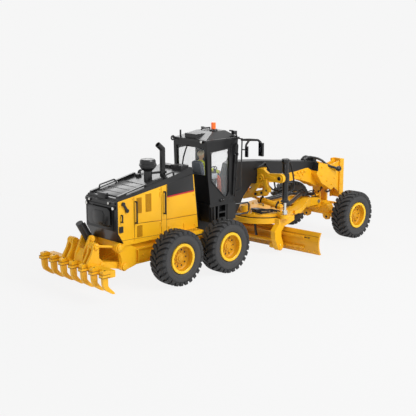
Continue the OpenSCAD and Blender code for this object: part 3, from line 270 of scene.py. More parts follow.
def buildAmber(root):
    deep, pale = linear(amber["deep"]), linear(amber["pale"])
    patches = noise(root, objectPlace(root), amber["patches"]).ramp(*coating["spread"])
    # The lens also glows a little in deep amber: painted glow on an unlit lens.
    return {"Base Color": patches.colour(deep, pale), "Roughness": 0.2, "Coat Weight": 0.4,
            "Emission Color": deep, "Emission Strength": 0.25}


boomPaint = makeMaterial("boomPaint", buildBoomPaint)
clearGlass = makeMaterial("clearGlass", buildGlass)
amberLens = makeMaterial("amberLens", buildAmber)

print("stage: finishes made")

nodeFinish = {  # every other node is yellow
    blackPaint: ["hood_top", "rear_grille", "exhaust_stack", "air_cleaner", "hood_fittings", "cab_roof",
                 "mirrors", "front_lamps", "lift_barrel_left", "lift_barrel_right", "ripper_barrel",
                 "cab_steps"],
    cabPaint: ["cab_floor", "cab_frame", "cab_doors", "cab_controls"],
    hosePaint: ["drawbar_hoses"],
    chromeRod: ["lift_rod_left", "lift_rod_right", "shift_rod", "ripper_rod"],
    castSteel: ["drawbar_ball"],
    seatPlastic: ["cab_seat"],
    bladePaint: ["moldboard"],
    boomPaint: ["boom"],
    clearGlass: ["cab_glass"],
    amberLens: ["beacon"],
    vestPaint: ["operator_figure"],
}


def dressNodes():
    finishOf = {name: material for material, names in nodeFinish.items() for name in names}
    for name, piece in nodes.items():
        piece.data.materials.clear()
        piece.data.materials.append(finishOf.get(name, yellowPaint))


dressNodes()
print("stage: frame nodes dressed")


# Tools: objects, geometry trees, solid forms, patterns on points and pipes along routes
def newObject(name, data):
    made = bpy.data.objects.new(name, data)
    bpy.context.scene.collection.objects.link(made)
    return made


def rawObject(name, points, edges=(), faces=()):
    mesh = bpy.data.meshes.new(name + "Raw")
    mesh.from_pydata(points, edges, faces)
    return newObject(name, mesh)


def outward(mesh):
    work = bmesh.new()
    work.from_mesh(mesh)
    bmesh.ops.recalc_face_normals(work, faces=work.faces)
    work.to_mesh(mesh)
    work.free()


edgeAngle = 35  # degrees; a sharper bend is an edge


def settle(piece, body, smooth=edgeAngle):  # smooths a finished piece and puts it on its body
    piece.data.shade_smooth()
    piece.data.set_sharp_from_angle(angle=math.radians(smooth))
    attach(piece, body)
    return piece


def newTree(name, inputs):  # a geometry tree with named inputs
    tree = bpy.data.node_groups.new(name, "GeometryNodeTree")
    tree.interface.new_socket("Geometry", in_out="INPUT", socket_type="NodeSocketGeometry")
    for label, kind in inputs.items():
        tree.interface.new_socket(label, in_out="INPUT", socket_type="NodeSocket" + kind)
    tree.interface.new_socket("Geometry", in_out="OUTPUT", socket_type="NodeSocketGeometry")
    root = Sock(tree)
    return root, root.add("NodeGroupInput")


def closeTree(root, geometry, finish):  # every tree ends in its material
    done = root.add("GeometryNodeSetMaterial", {}, {"Geometry": geometry, "Material": finish})
    root.add("NodeGroupOutput", {}, {"Geometry": done})
    return root.tree


def runTree(source, tree, values):  # sets inputs by identifier, then keeps the result as a plain mesh
    modifier = source.modifiers.new("tree", "NODES")
    modifier.node_group = tree
    for item in tree.interface.items_tree:
        if item.in_out == "INPUT" and item.name in values:
            modifier[item.identifier] = values[item.name]
    graph = bpy.context.evaluated_depsgraph_get()
    result = source.evaluated_get(graph)
    mesh = bpy.data.meshes.new_from_object(result, preserve_all_data_layers=True, depsgraph=graph)
    name = source.name
    mesh.name = name
    bpy.data.objects.remove(source)
    return newObject(name, mesh)


class Shape:  # gathers solid forms into one mesh
    def __init__(self):
        self.work = bmesh.new()

    def loft(self, rings):  # a skin over closed rings of points, capped at both ends
        made = [[self.work.verts.new(p) for p in ring] for ring in rings]
        count = len(made[0])
        for a, b in zip(made, made[1:]):
            for i in range(count):
                self.work.faces.new((a[i], a[(i + 1) % count], b[(i + 1) % count], b[i]))
        self.work.faces.new(made[0][::-1])
        self.work.faces.new(made[-1])

    def box(self, low, high):
        corners = [(low[0], low[1]), (high[0], low[1]), (high[0], high[1]), (low[0], high[1])]
        self.loft([[at(x, y, z) for x, y in corners] for z in (low[2], high[2])])

    def sideBoxes(self, low, high):  # the same box on the left and on the right
        for side in sideNames:
            y0, y1 = sorted((side * low[1], side * high[1]))
            self.box((low[0], y0, low[2]), (high[0], y1, high[2]))

    def prism(self, outline, y0, y1):  # an outline in x and z, across the machine
        self.loft([[at(x, y, z) for x, z in outline] for y in (y0, y1)])

    def slab(self, outline, x0, x1):  # an outline in y and z, along the machine
        self.loft([[at(x, y, z) for y, z in outline] for x in (x0, x1)])

    def soft(self, rings, y=0.0, power=3.2, tilt=0.0, steps=32):  # rounded rings: x, z and both half widths
        made = []
        for x, z, halfX, halfY in rings:
            ring = []
            for turn in around(steps):
                c, s = math.cos(turn), math.sin(turn)
                out = math.copysign(abs(c) ** (2 / power), c) * halfX
                aside = math.copysign(abs(s) ** (2 / power), s) * halfY
                ring.append(at(x + out, y + aside, z + tilt * out))
            made.append(ring)
        self.loft(made)

    def lathe(self, base, axis, profile, steps=24):  # pairs of radius and height along the axis
        turn = Vector(axis).to_track_quat("Z", "Y").to_matrix()
        rings = []
        for radius, height in profile:
            ring = [Vector((radius * math.cos(a), radius * math.sin(a), height)) for a in around(steps)]
            rings.append([base + turn @ p * mm for p in ring])
        self.loft(rings)

    def sideCaps(self, spots, y, profile, steps=24):  # turned caps on both flanks
        for side in sideNames:
            for x, z in spots:
                self.lathe(at(x, side * y, z), (0, side, 0), profile, steps)

    def build(self, name):
        mesh = bpy.data.meshes.new(name)
        self.work.to_mesh(mesh)
        self.work.free()
        return newObject(name, mesh)

    def piece(self, name, body, finish, slot=None, bevel=0.0, segments=2, smooth=edgeAngle):
        work = self.work
        bmesh.ops.recalc_face_normals(work, faces=work.faces)
        if bevel:
            least = math.radians(edgeAngle)
            sharp = [e for e in work.edges if e.is_manifold and e.calc_face_angle(0) > least]
            bmesh.ops.bevel(work, geom=sharp, offset=bevel * mm, segments=segments, affect="EDGES",
                            profile=0.5)
        made = self.build(name)
        made.data.materials.append(finish)
        return settle(made, body, smooth)


def buildPlaceTree():  # a pattern on every point, turned to its facing and stretched to its size
    root, given = newTree("placeTree", {"Pattern": "Object", "Finish": "Material"})
    pattern = root.add("GeometryNodeObjectInfo", {}, {"Object": given.side("Pattern")}, "Geometry")
    asVector = {"data_type": "FLOAT_VECTOR"}
    facing = root.add("GeometryNodeInputNamedAttribute", asVector, {"Name": "facing"})
    size = root.add("GeometryNodeInputNamedAttribute", asVector, {"Name": "size"})
    turn = root.add("FunctionNodeAlignRotationToVector", {"axis": "Z"}, {"Vector": facing})
    spread = root.add("GeometryNodeInstanceOnPoints", {},
                      {"Points": given, "Instance": pattern, "Rotation": turn, "Scale": size})
    real = root.add("GeometryNodeRealizeInstances", {}, {"Geometry": spread})
    return closeTree(root, real, given.side("Finish"))


def buildPipeTree():  # a round skin along every polyline, with rounded bends
    sizes = {"Radius": "Float", "Bend": "Float", "Sides": "Int", "Finish": "Material"}
    root, given = newTree("pipeTree", sizes)
    path = root.add("GeometryNodeMeshToCurve", {}, {"Mesh": given})
    soft = root.add("GeometryNodeFilletCurve", {"mode": "POLY"},
                    {"Curve": path, "Radius": given.side("Bend"), "Count": 5, "Limit Radius": True})
    ring = root.add("GeometryNodeCurvePrimitiveCircle", {"mode": "RADIUS"},
                    {"Resolution": given.side("Sides"), "Radius": given.side("Radius")})
    skin = root.add("GeometryNodeCurveToMesh", {}, {"Curve": soft, "Profile Curve": ring, "Fill Caps": True})
    real = root.add("GeometryNodeRealizeInstances", {}, {"Geometry": skin})
    return closeTree(root, real, given.side("Finish"))


placeTree = buildPlaceTree()
pipeTree = buildPipeTree()


def scatter(name, body, finish, pattern, spots):  # spots hold place, facing and size
    source = rawObject(name, [spot[0] for spot in spots])
    for index, label in ((1, "facing"), (2, "size")):
        layer = source.data.attributes.new(label, "FLOAT_VECTOR", "POINT")
        layer.data.foreach_set("vector", [v for spot in spots for v in spot[index]])
    piece = runTree(source, placeTree, {"Pattern": pattern, "Finish": finish})
    bpy.data.objects.remove(pattern)
    return settle(piece, body)


def pipes(name, body, finish, routes, radius, bend=1.2, sides=10):
    points, edges = [], []
    for route in routes:
        start = len(points)
        points += route
        edges += [(start + i, start + i + 1) for i in range(len(route) - 1)]
    source = rawObject(name, points, edges)
    sizes = {"Radius": radius * mm, "Bend": bend * mm, "Sides": sides, "Finish": finish}
    piece = runTree(source, pipeTree, sizes)
    outward(piece.data)
    return settle(piece, body, smooth=50)


bolt = {"washer": [(0.5, -0.15), (0.5, 0.12)], "head": [(0.38, 0.1), (0.38, 0.42), (0.3, 0.5)]}


def boltPattern():  # hexagon head on a washer, one millimetre across the washer
    shape = Shape()
    for form, steps in (("washer", 12), ("head", 6)):
        shape.lathe(Vector(), (0, 0, 1), bolt[form], steps)
    return shape.build("boltPattern")


def barPattern():  # a bar one millimetre each way
    half = 0.5 * mm
    square = [(-half, -half), (half, -half), (half, half), (-half, half)]
    corners = [(x, y, z) for z in (-half, half) for x, y in square]
    sides = [(i, (i + 1) % 4, (i + 1) % 4 + 4, i + 4) for i in range(4)]
    return rawObject("barPattern", corners, faces=[(3, 2, 1, 0), (4, 5, 6, 7)] + sides)


def boltSpot(place, facing, size):
    return place, facing, (size, size, size)


def sideBolts(spots, y, size):  # bolts on both flanks
    return [boltSpot(at(x, side * y, z), (0, side, 0), size) for side in sideNames for x, z in spots]


def barSpot(low, high):  # a bar between two corners, in millimetres
    middle = [(a + b) / 2 for a, b in zip(low, high)]
    return at(*middle), (0, 0, 1), [b - a for a, b in zip(low, high)]


def bolted(name, body, spots, finish=yellowPaint):
    return scatter(name, body, finish, boltPattern(), spots)


def turned(name, profile, steps):  # a closed outline turned about the axle
    points = [(r * math.sin(a) * mm, y * mm, r * math.cos(a) * mm) for a in around(steps) for r, y in profile]
    count = len(profile)
    faces = []
    for i in range(steps):
        here, there = i * count, (i + 1) % steps * count
        for k in range(count):
            after = (k + 1) % count
            faces.append((here + k, here + after, there + after, there + k))
    made = rawObject(name, points, faces=faces)
    outward(made.data)
    return made


print("stage: tools made")

# Tyres: a turned carcass with chevron lugs round it
tyre = {
    "axles": ["rear", "mid", "front"], "lugs": 26, "crown": 14.75, "lugTop": 2.1, "lugFoot": 2.75,
    "sweep": 3.3,
    "stations": [(0.2, 0.0, 14.75, 13.4), (2.4, 0.55, 14.75, 13.4), (4.2, 0.85, 14.62, 13.2),
                 (4.95, 0.97, 14.35, 12.8), (5.2, 1.0, 13.7, 12.4)],  # half width, share of sweep, top, foot
    "profile": [(7.3, 4.1), (7.95, 4.1), (8.25, 4.45), (8.9, 4.85), (9.7, 5.08), (10.7, 5.2), (11.6, 5.22),
                (12.1, 5.16), (12.25, 4.96), (12.9, 4.78), (13.45, 4.3), (13.65, 3.0), (13.7, 1.4)],
    "steps": 96, "rings": (8.5, 9.2, 10.1, 11.7), "ringEdge": (0.05, 0.16), "wallEdge": (12.1, 12.6),
    "bead": 7.6, "dust": 160.0, "pores": 2200.0, "wallShare": 0.8, "dustShare": 0.2, "ringShare": 0.6,
    "poreShare": 0.3, "roughness": 0.62, "dustRougher": 0.12, "bump": (0.5, 0.06),  # strength and depth
    "treadTone": "222223", "wallTone": "3A3A3B", "ringTone": "29292A",
}


def buildRubber(root):
    place = objectPlace(root)
    radius = root.add("ShaderNodeAttribute", {"attribute_name": "axleRadius"}, pick="Fac") / mm
    rings = sum(1 - abs(radius - line).ramp(*tyre["ringEdge"]) for line in tyre["rings"])
    wall = (1 - radius.ramp(*tyre["wallEdge"])) * (radius > tyre["bead"])
    dust = noise(root, place, tyre["dust"], coating["cloudDetail"])
    pores = noise(root, place, tyre["pores"]) * tyre["poreShare"]
    dusty = wall * tyre["wallShare"] + dust * tyre["dustShare"]
    tone = dusty.colour(linear(tyre["treadTone"]), linear(tyre["wallTone"]))
    return {
        "Base Color": (rings * tyre["ringShare"]).colour(tone, linear(tyre["ringTone"])),
        "Roughness": tyre["roughness"] + dust * tyre["dustRougher"],
        "Normal": grainBump(root, pores - rings, *tyre["bump"]),
    }


rubber = makeMaterial("rubber", buildRubber)


def lugMesh(name):  # one lug of each half, half a pitch apart, at the top of the tyre
    pitch = 2 * math.pi / tyre["lugs"]
    stations = tyre["stations"]
    points, faces = [], []
    for half in sideNames:
        start = len(points)
        for y, share, top, foot in stations:
            lead = share * tyre["sweep"] / tyre["crown"] + (pitch / 2 if half < 0 else 0)
            for radius, width in ((foot, tyre["lugFoot"]), (top, tyre["lugTop"])):
                for way in (-1, 1):
                    angle = lead + way * width / 2 / tyre["crown"]
                    along, up = radius * math.sin(angle), radius * math.cos(angle)
                    points.append((along * mm, half * y * mm, up * mm))
        for i in range(len(stations) - 1):
            a, b = start + 4 * i, start + 4 * i + 4
            faces += [(a + p, a + q, b + q, b + p) for p, q in ((0, 2), (2, 3), (3, 1), (1, 0))]
        last = start + 4 * (len(stations) - 1)
        faces += [(start, start + 1, start + 3, start + 2), (last, last + 2, last + 3, last + 1)]
    made = rawObject(name, points, faces=faces)
    outward(made.data)
    return made


def buildTyreTree():
    sizes = {"Lug": "Object", "Count": "Int", "Centre": "Vector", "Rubber": "Material"}
    root, given = newTree("tyreTree", sizes)
    line = root.add("GeometryNodeMeshLine", {}, {"Count": given.side("Count"), "Offset": (0, 0, 0)})
    lug = root.add("GeometryNodeObjectInfo", {}, {"Object": given.side("Lug")}, "Geometry")
    turn = root.add("GeometryNodeInputIndex") * (2 * math.pi) / given.side("Count")
    spin = root.add("ShaderNodeCombineXYZ", {}, {"Y": turn})
    ring = root.add("GeometryNodeInstanceOnPoints", {}, {"Points": line, "Instance": lug, "Rotation": spin})
    join = root.add("GeometryNodeJoinGeometry", {}, {"Geometry": given})
    root.tree.links.new(ring.out, join.out.node.inputs["Geometry"])
    real = root.add("GeometryNodeRealizeInstances", {}, {"Geometry": join})
    axes = root.add("ShaderNodeSeparateXYZ", {}, {"Vector": root.add("GeometryNodeInputPosition")})
    far = root.maths("SQRT", axes * axes + axes.side("Z") * axes.side("Z"))
    marked = root.add("GeometryNodeStoreNamedAttribute", {"data_type": "FLOAT", "domain": "POINT"},
                      {"Geometry": real, "Name": "axleRadius", "Value": far})
    placed = root.add("GeometryNodeTransform", {}, {"Geometry": marked, "Translation": given.side("Centre")})
    return closeTree(root, placed, given.side("Rubber"))


def makeTyres():
    tree = buildTyreTree()
    loop = tyre["profile"] + [(r, -y) for r, y in reversed(tyre["profile"])]
    lug = lugMesh("lugPattern")
    for place in tyre["axles"]:
        for word in sideNames.values():
            node = f"tyre_{place}_{word}"
            low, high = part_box(node)
            source = turned(f"tyreTread_{place}_{word}", loop, tyre["steps"])
            values = {"Lug": lug, "Count": tyre["lugs"], "Centre": (low + high) / 2, "Rubber": rubber}
            piece = runTree(source, tree, values)
            settle(piece, bodyOf[node], smooth=30)
            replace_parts(piece, node)
    bpy.data.objects.remove(lug)


makeTyres()
print("stage: tyres made")

# Hood sides: mesh inserts in a darker yellow of painted shade, bolts, hinges, seams and dark panel
hood = {
    "mesh": [(-33.2, 38.1, -29.8, 46.2), (-27.3, 38.0, -23.3, 47.4), (-33.2, 25.6, -29.5, 31.7)],
    "wire": 0.16, "pitch": 0.55, "sunk": 0.25, "skin": 0.02,
    "dark": [(-12.4, 43.6), (7.0, 44.37), (6.2, 53.78), (-12.4, 50.92)], "darkSunk": 0.05, "darkProud": 0.14,
    "red": [(-12.4, 43.6), (7.0, 44.37), (6.95, 45.07), (-12.4, 44.3)], "redProud": 0.2,
    "bolts": [(-44.0, 27.8), (-44.2, 43.6), (-35.8, 26.0), (-35.8, 46.2), (-17.4, 25.4), (-17.4, 48.8),
              (-11.6, 26.0), (-11.6, 42.4), (7.4, 26.0), (6.6, 42.6)], "boltSize": 0.9,
    "hinges": [(-17.2, 28.6), (-17.2, 44.6), (-0.6, 25.4), (-11.2, 25.4)], "hingeLength": 2.6,
    "hingeOut": 0.15,
    "seams": [[(-34.9, 26.0), (-34.9, 46.9)], [(-16.5, 24.6), (-16.5, 49.6)], [(-12.8, 24.4), (-12.8, 50.3)],
              [(-34.9, 33.0), (-16.6, 32.0)], [(-12.7, 31.8), (9.4, 31.3)], [(-43.6, 25.6), (9.6, 23.4)]],
}


def makeHood():
    half = span("hood_panels")[1].y
    wires, dark, red = [], Shape(), Shape()
    for side in sideNames:
        y0, y1 = sorted((side * (half - hood["sunk"]), side * (half + hood["skin"])))
        for x0, z0, x1, z1 in hood["mesh"]:
            wires += [barSpot((x, y0, z0), (x + hood["wire"], y1, z1)) for x in spaced(x0, x1, hood["pitch"])]
            wires += [barSpot((x0, y0, z), (x1, y1, z + hood["wire"])) for z in spaced(z0, z1, hood["pitch"])]
        dark.prism(hood["dark"], side * (half - hood["darkSunk"]), side * (half + hood["darkProud"]))
        red.prism(hood["red"], side * half, side * (half + hood["redProud"]))
    # The darker mesh bars are painted shade.
    scatter("hoodMesh", "rear_frame", meshPaint, barPattern(), wires)
    bolted("hoodBolts", "rear_frame", sideBolts(hood["bolts"], half, hood["boltSize"]))
    out, long = half + hood["hingeOut"], hood["hingeLength"]
    hinges = [[(x, out, z), (x, out, z + long)] for x, z in hood["hinges"]]
    pipes("hoodHinges", "rear_frame", yellowPaint, mirrored(hinges), radius=0.4)
    seams = [[(x, half - hood["skin"], z) for x, z in line] for line in hood["seams"]]
    pipes("hoodSeams", "rear_frame", seamPaint, mirrored(seams), radius=0.11, sides=8)
    dark.piece("hoodDarkPanel", "rear_frame", blackPaint, bevel=0.05)
    red.piece("hoodRedBar", "rear_frame", redPaint)


# Hood rear and top: lamps, door, deck, rails and the pipes ahead of the hood
hoodRear = {
    "inset": 1.5, "lenses": [(10.8, 42.6, 0.8, 1.1), (7.8, 45.0, 0.62, 1.5)], "lensOut": 0.02,
    "door": [(7.4, 32.5), (8.9, 34.0), (8.9, 40.8), (7.4, 42.3)], "doorDepth": (1.7, 0.9),
    "boss": [(3.4, 33.6), (4.6, 35.4), (4.6, 38.8), (3.4, 40.4)], "bossDepth": (2.1, 1.5),
    "deck": [(-43.2, 47.4), (-43.0, 48.1), (-24.2, 51.8), (-24.0, 51.2)], "deckHalf": 9.2,
    "deckSeams": [-25.2, -29.6, -34.2, -39.0], "hump": ((-46.3, -3.2, 45.6), (-43.6, 3.2, 49.2)),
    "rails": [[(-39.1, 10.8, 48.2), (-38.6, 10.8, 50.8), (-28.8, 10.8, 52.5), (-27.3, 10.8, 50.6)],
              [(-12.0, 10.8, 53.4), (-12.6, 10.8, 54.6), (-11.0, 10.8, 55.3), (-4.6, 10.8, 56.4),
               (-3.8, 10.8, 55.2)]],
    "posts": [[(10.4, 10.6, 24.6), (10.5, 10.6, 31.0), (8.7, 10.6, 46.0), (7.6, 10.6, 51.0)],
              [(10.8, 7.4, 24.6), (11.0, 7.4, 30.0), (9.4, 7.6, 42.0), (8.6, 9.4, 47.0)],
              [(11.2, 4.2, 26.0), (11.4, 4.6, 32.0), (10.0, 6.4, 44.0)],
              [(10.4, 10.6, 33.0), (11.6, 9.0, 34.2), (11.0, 7.4, 33.0)]],
}


def makeHoodRear():
    inset = span("rear_grille")[0].x + hoodRear["inset"]
    lenses, door, deck, hump = [Shape() for i in range(4)]
    for y, z, radius, depth in hoodRear["lenses"]:
        profile = [(radius, -0.1), (radius, 0.1), (radius * 0.6, 0.22), (0.1, 0.26)]
        for side in sideNames:
            lenses.lathe(at(inset - depth + hoodRear["lensOut"], side * y, z), (-1, 0, 0), profile)
    lenses.piece("rearLampLenses", "rear_frame", whiteLens)
    for form in ("door", "boss"):
        door.slab(wholeOutline(hoodRear[form]), *[inset - depth for depth in hoodRear[form + "Depth"]])
    door.piece("rearDoor", "rear_frame", blackPaint, bevel=0.3)
    half = hoodRear["deckHalf"]
    deck.prism(hoodRear["deck"], -half, half)
    deck.piece("hoodDeck", "rear_frame", blackPaint, bevel=0.12)
    pipes("hoodRails", "rear_frame", blackPaint, routed(hoodRear["rails"]), radius=0.4, bend=0.9)
    (x0, z0), (x1, z1) = hoodRear["deck"][1:3]
    slope = (z1 - z0) / (x1 - x0)
    seams = [[(x, y, z0 + (x - x0) * slope) for y in (half, -half)] for x in hoodRear["deckSeams"]]
    pipes("deckSeams", "rear_frame", hosePaint, routed(seams), radius=0.14, sides=8)
    hump.box(*hoodRear["hump"])
    hump.piece("rearHump", "rear_frame", blackPaint, bevel=0.6, segments=3)
    pipes("hoodPosts", "rear_frame", hosePaint, mirrored(hoodRear["posts"]), radius=0.7, bend=1.5)


makeHood()
makeHoodRear()
print("stage: hood pieces made")

# Wheels: rims with a painted-light lip and a painted-shade dish, bolts, and holes as painted-shade dark discs
wheel = {
    "rim": [(7.9, 4.12), (7.9, 4.9), (7.75, 5.05), (6.75, 5.05), (6.45, 4.85), (6.3, 3.2), (6.1, 2.2),
            (5.7, 1.85), (2.7, 1.8), (2.6, 2.3), (2.3, 2.4), (1.5, 2.4), (1.4, 2.75), (0.05, 2.8),
            (0.05, 0.6), (6.15, 0.6), (6.15, -5.05), (7.9, -5.05), (7.9, -4.12), (7.0, -4.12), (7.0, 4.12)],
    "steps": 64, "lipRadius": 6.55, "face": 1.8, "boltRing": 3.3, "boltSize": 0.95,
    "holes": 10, "holeRing": 4.4, "hole": [(0.5, -0.2), (0.5, 0.04)],
}


def makeWheel(place, side):
    label = f"{place}_{sideNames[side]}"
    node = "rim_" + label
    low, high = span(node)
    middle = (low + high) / 2
    dish = turned("rimDish_" + label, [(r, side * y) for r, y in wheel["rim"]], wheel["steps"])
    dish.data.materials.append(rimPaint)
    dish.data.materials.append(dishPaint)
    # Faces inside the lip radius take the darker dish copy, which is painted shade.
    for face in dish.data.polygons:
        face.material_index = int(math.hypot(face.center.x, face.center.z) < wheel["lipRadius"] * mm)
    dish.data.transform(Matrix.Translation(at(*middle)))
    settle(dish, bodyOf[node], smooth=30)
    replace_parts(dish, node)
    bolts, holes = [], Shape()
    centre = middle + Vector((0, side * wheel["face"], 0))
    for turn in around(wheel["holes"]):
        way = Vector((math.cos(turn), 0, math.sin(turn)))
        bolts.append(boltSpot(at(*(centre + way * wheel["boltRing"])), (0, side, 0), wheel["boltSize"]))
        # Each hole is a dark disc: painted shade in place of the hollow.
        holes.lathe(at(*(centre + way * wheel["holeRing"])), (0, side, 0), wheel["hole"], steps=16)
    bolted("wheelBolts_" + label, bodyOf[node], bolts, dishPaint)
    holes.piece("wheelHoles_" + label, bodyOf[node], hosePaint)


# Chassis and tandems: covers, foot board grips, bolts, ledges and pin caps
chassis = {
    "cover": [(3.4, -0.1), (3.4, 0.25), (2.9, 0.42), (0.1, 0.42)], "coverIn": 1.0,
    "board": ((-1.4, 12.9), (7.0, 19.2)), "boardTop": 24.0, "gripPitch": 1.3, "grip": (0.9, 0.3, 0.24),
    "ribBolts": [(x, 15.0) for x in (-34, -27, -20, -13, -7.5)], "ribFace": 9.82, "boltSize": 1.1,
    "ledge": ((-33.0, 9.5, 18.6), (-4.0, 10.4, 19.4)),
    "pins": [(-41.4, 11.7), (-44.2, 21.9)], "pinFace": 12.4,
    "pinCap": [(1.75, -0.2), (1.75, 0.35), (1.3, 0.6), (0.1, 0.62)],
}


def makeTandemTrim():
    for side, word in sideNames.items():
        low, high = span("tandem_case_" + word)
        middle = (low + high) / 2
        outer = min(abs(corner.y) for corner in span("rim_mid_" + word)) - chassis["coverIn"]
        cap = Shape()
        cap.lathe(at(middle.x, side * outer, middle.z), (0, side, 0), chassis["cover"])
        cap.piece("tandemCover_" + word, "tandem_" + word, yellowPaint)


def makeChassisTrim():
    grips, ledge, caps = [], Shape(), Shape()
    (x0, y0), (x1, y1) = chassis["board"]
    long, wide, tall = chassis["grip"]
    for side in sideNames:
        for i, x in enumerate(spaced(x0, x1, chassis["gripPitch"])):
            for k, y in enumerate(spaced(y0, y1, chassis["gripPitch"])):
                size = (long, wide, tall) if (i + k) % 2 else (wide, long, tall)
                grips.append((at(x, side * y, chassis["boardTop"]), (0, 0, 1), size))
    scatter("footBoardGrips", "rear_frame", blackPaint, barPattern(), grips)
    bolts = sideBolts(chassis["ribBolts"], chassis["ribFace"], chassis["boltSize"])
    bolted("chassisBolts", "rear_frame", bolts)
    ledge.sideBoxes(*chassis["ledge"])
    ledge.piece("chassisLedge", "rear_frame", yellowPaint, bevel=0.2)
    caps.sideCaps(chassis["pins"], chassis["pinFace"], chassis["pinCap"])
    caps.piece("earPinCaps", "rear_frame", yellowPaint)


for wheelPlace in tyre["axles"]:
    for wheelSide in sideNames:
        makeWheel(wheelPlace, wheelSide)
makeTandemTrim()
makeChassisTrim()
print("stage: chassis and wheel trim made")

# Cab: door seals, door edges, wiper, knobs, rails with clamps and steering wheel
cab = {
    "half": 13.4, "sealOut": 0.02,
    "window": [(18.9, 64.3), (33.2, 65.2), (33.2, 40.4), (31.6, 37.9), (29.6, 38.2), (19.3, 48.2)],
    "doorGap": [(35.0, 66.6), (35.0, 38.0), (33.0, 36.6)],
    "wiper": [(15.7, 2.0, 66.9), (15.75, 3.2, 64.5), (15.9, 5.2, 60.0), (16.1, 6.4, 55.6),
              (16.3, 6.7, 53.2)],
    "knobs": [(26.6, 36.6), (28.3, 36.6)],
    "knob": [(0.4, -0.1), (0.75, 0.3), (0.75, 0.7), (0.4, 1.0), (0.05, 1.05)],
    "rails": [[(37.0, 14.2, 37.6), (37.0, 14.5, 39.0), (38.9, 14.5, 66.4), (39.1, 13.4, 67.6)],
              [(35.6, 13.4, 38.4), (35.6, 14.3, 39.2), (37.2, 14.3, 61.0), (37.2, 13.4, 62.0)]],
    "clamps": [(37.8, 60.6), (37.5, 56.2), (36.9, 47.0)], "clamp": (1.3, 1.6, 1.5),
    "wheel": (33.4, 0.0, 51.6), "wheelRadius": 2.6, "wheelTilt": 32, "wheelSteps": 24, "spokes": 3,
    "column": 2.6,
}


def makeCabTrim():
    half = cab["half"]
    seals, knobs, clamps = [], Shape(), Shape()
    for side in sideNames:
        loop = [at(x, side * (half + cab["sealOut"]), z) for x, z in cab["window"]]
        middle = (loop[0] + loop[1]) / 2
        seals.append([middle] + loop[1:] + [loop[0], middle])
    pipes("doorSeals", "front_frame", hosePaint, seals, radius=0.32, bend=1.6)
    gap = [(x, half, z) for x, z in cab["doorGap"]]
    pipes("doorEdges", "front_frame", hosePaint, mirrored([gap]), radius=0.16, bend=1.0, sides=8)
    pipes("rearWiper", "front_frame", hosePaint, routed([cab["wiper"]]), radius=0.4, bend=1.5)
    knobs.sideCaps(cab["knobs"], half, cab["knob"], steps=16)
    knobs.piece("doorKnobs", "front_frame", blackPaint)
    pipes("postRails", "front_frame", blackPaint, mirrored(cab["rails"]), radius=0.4)
    long, wide, tall = cab["clamp"]
    for x, z in cab["clamps"]:
        clamps.sideBoxes((x, half, z), (x + long, half + wide, z + tall))
    clamps.piece("railClamps", "front_frame", blackPaint, bevel=0.2)
    turn = Matrix.Rotation(math.radians(-cab["wheelTilt"]), 3, "Y")
    hub, steps = Vector(cab["wheel"]), cab["wheelSteps"]
    rim = [turn @ Vector((math.cos(a), math.sin(a), 0)) * cab["wheelRadius"] + hub for a in around(steps)]
    spokes = [[spot, hub] for spot in rim[::steps // cab["spokes"]]]
    column = [hub, hub + turn @ Vector((0, 0, -cab["column"]))]
    routes = routed([rim + rim[:1], column] + spokes)
    pipes("steeringWheel", "front_frame", hosePaint, routes, radius=0.3, bend=0.01, sides=8)


# Lamps, mirrors and beacon
lamps = {
    "roof": ((39.75, 11.1, 72.6), (39.95, 12.7, 73.9)),
    "rear": (1.9, -10.4, 70.13), "rearLens": [(0.72, -0.05), (0.72, 0.1), (0.4, 0.2), (0.05, 0.22)],
    "head": (134.0, 10.8, 41.3), "shell": [(0.6, -0.4), (1.3, 0.2), (1.7, 1.2), (1.7, 2.6)],
    "lens": [(1.4, 2.5), (1.4, 2.7), (0.8, 2.86), (0.05, 2.9)],
    "clamp": ((119.8, -3.0, 45.6), (122.8, 3.0, 49.5)),
    "arm": [(113.0, 1.0, 48.3), (115.3, 1.5, 49.5), (118.2, 2.0, 49.7), (121.3, 2.5, 48.9),
            (123.7, 3.5, 48.3), (125.6, 5.0, 47.1), (126.6, 8.0, 44.8), (128.4, 9.5, 43.6),
            (132.1, 10.6, 42.3), (134.4, 10.8, 41.5)],
    "mirrors": [((43.7, 25.8, 61.4), (43.82, 28.2, 68.0)), ((40.6, 18.45, 60.3), (40.72, 19.95, 65.7))],
    "mirrorArms": [[(40.3, 15.6, 69.4), (42.0, 20.0, 69.8), (44.0, 25.0, 69.8), (44.5, 27.0, 68.4),
                    (44.5, 27.0, 66.0)], [(42.2, 20.2, 69.6), (40.9, 18.9, 66.8), (40.9, 18.9, 65.0)]],
    "beaconFoot": [(0.2, -0.5), (0.5, 0.2), (0.3, 1.0)], "beaconNeck": (1.4, 1.3),
    "beaconDome": [(1.3, -0.3), (1.3, 0), (1.15, 0.3), (0.75, 0.5), (0.1, 0.58)],
}


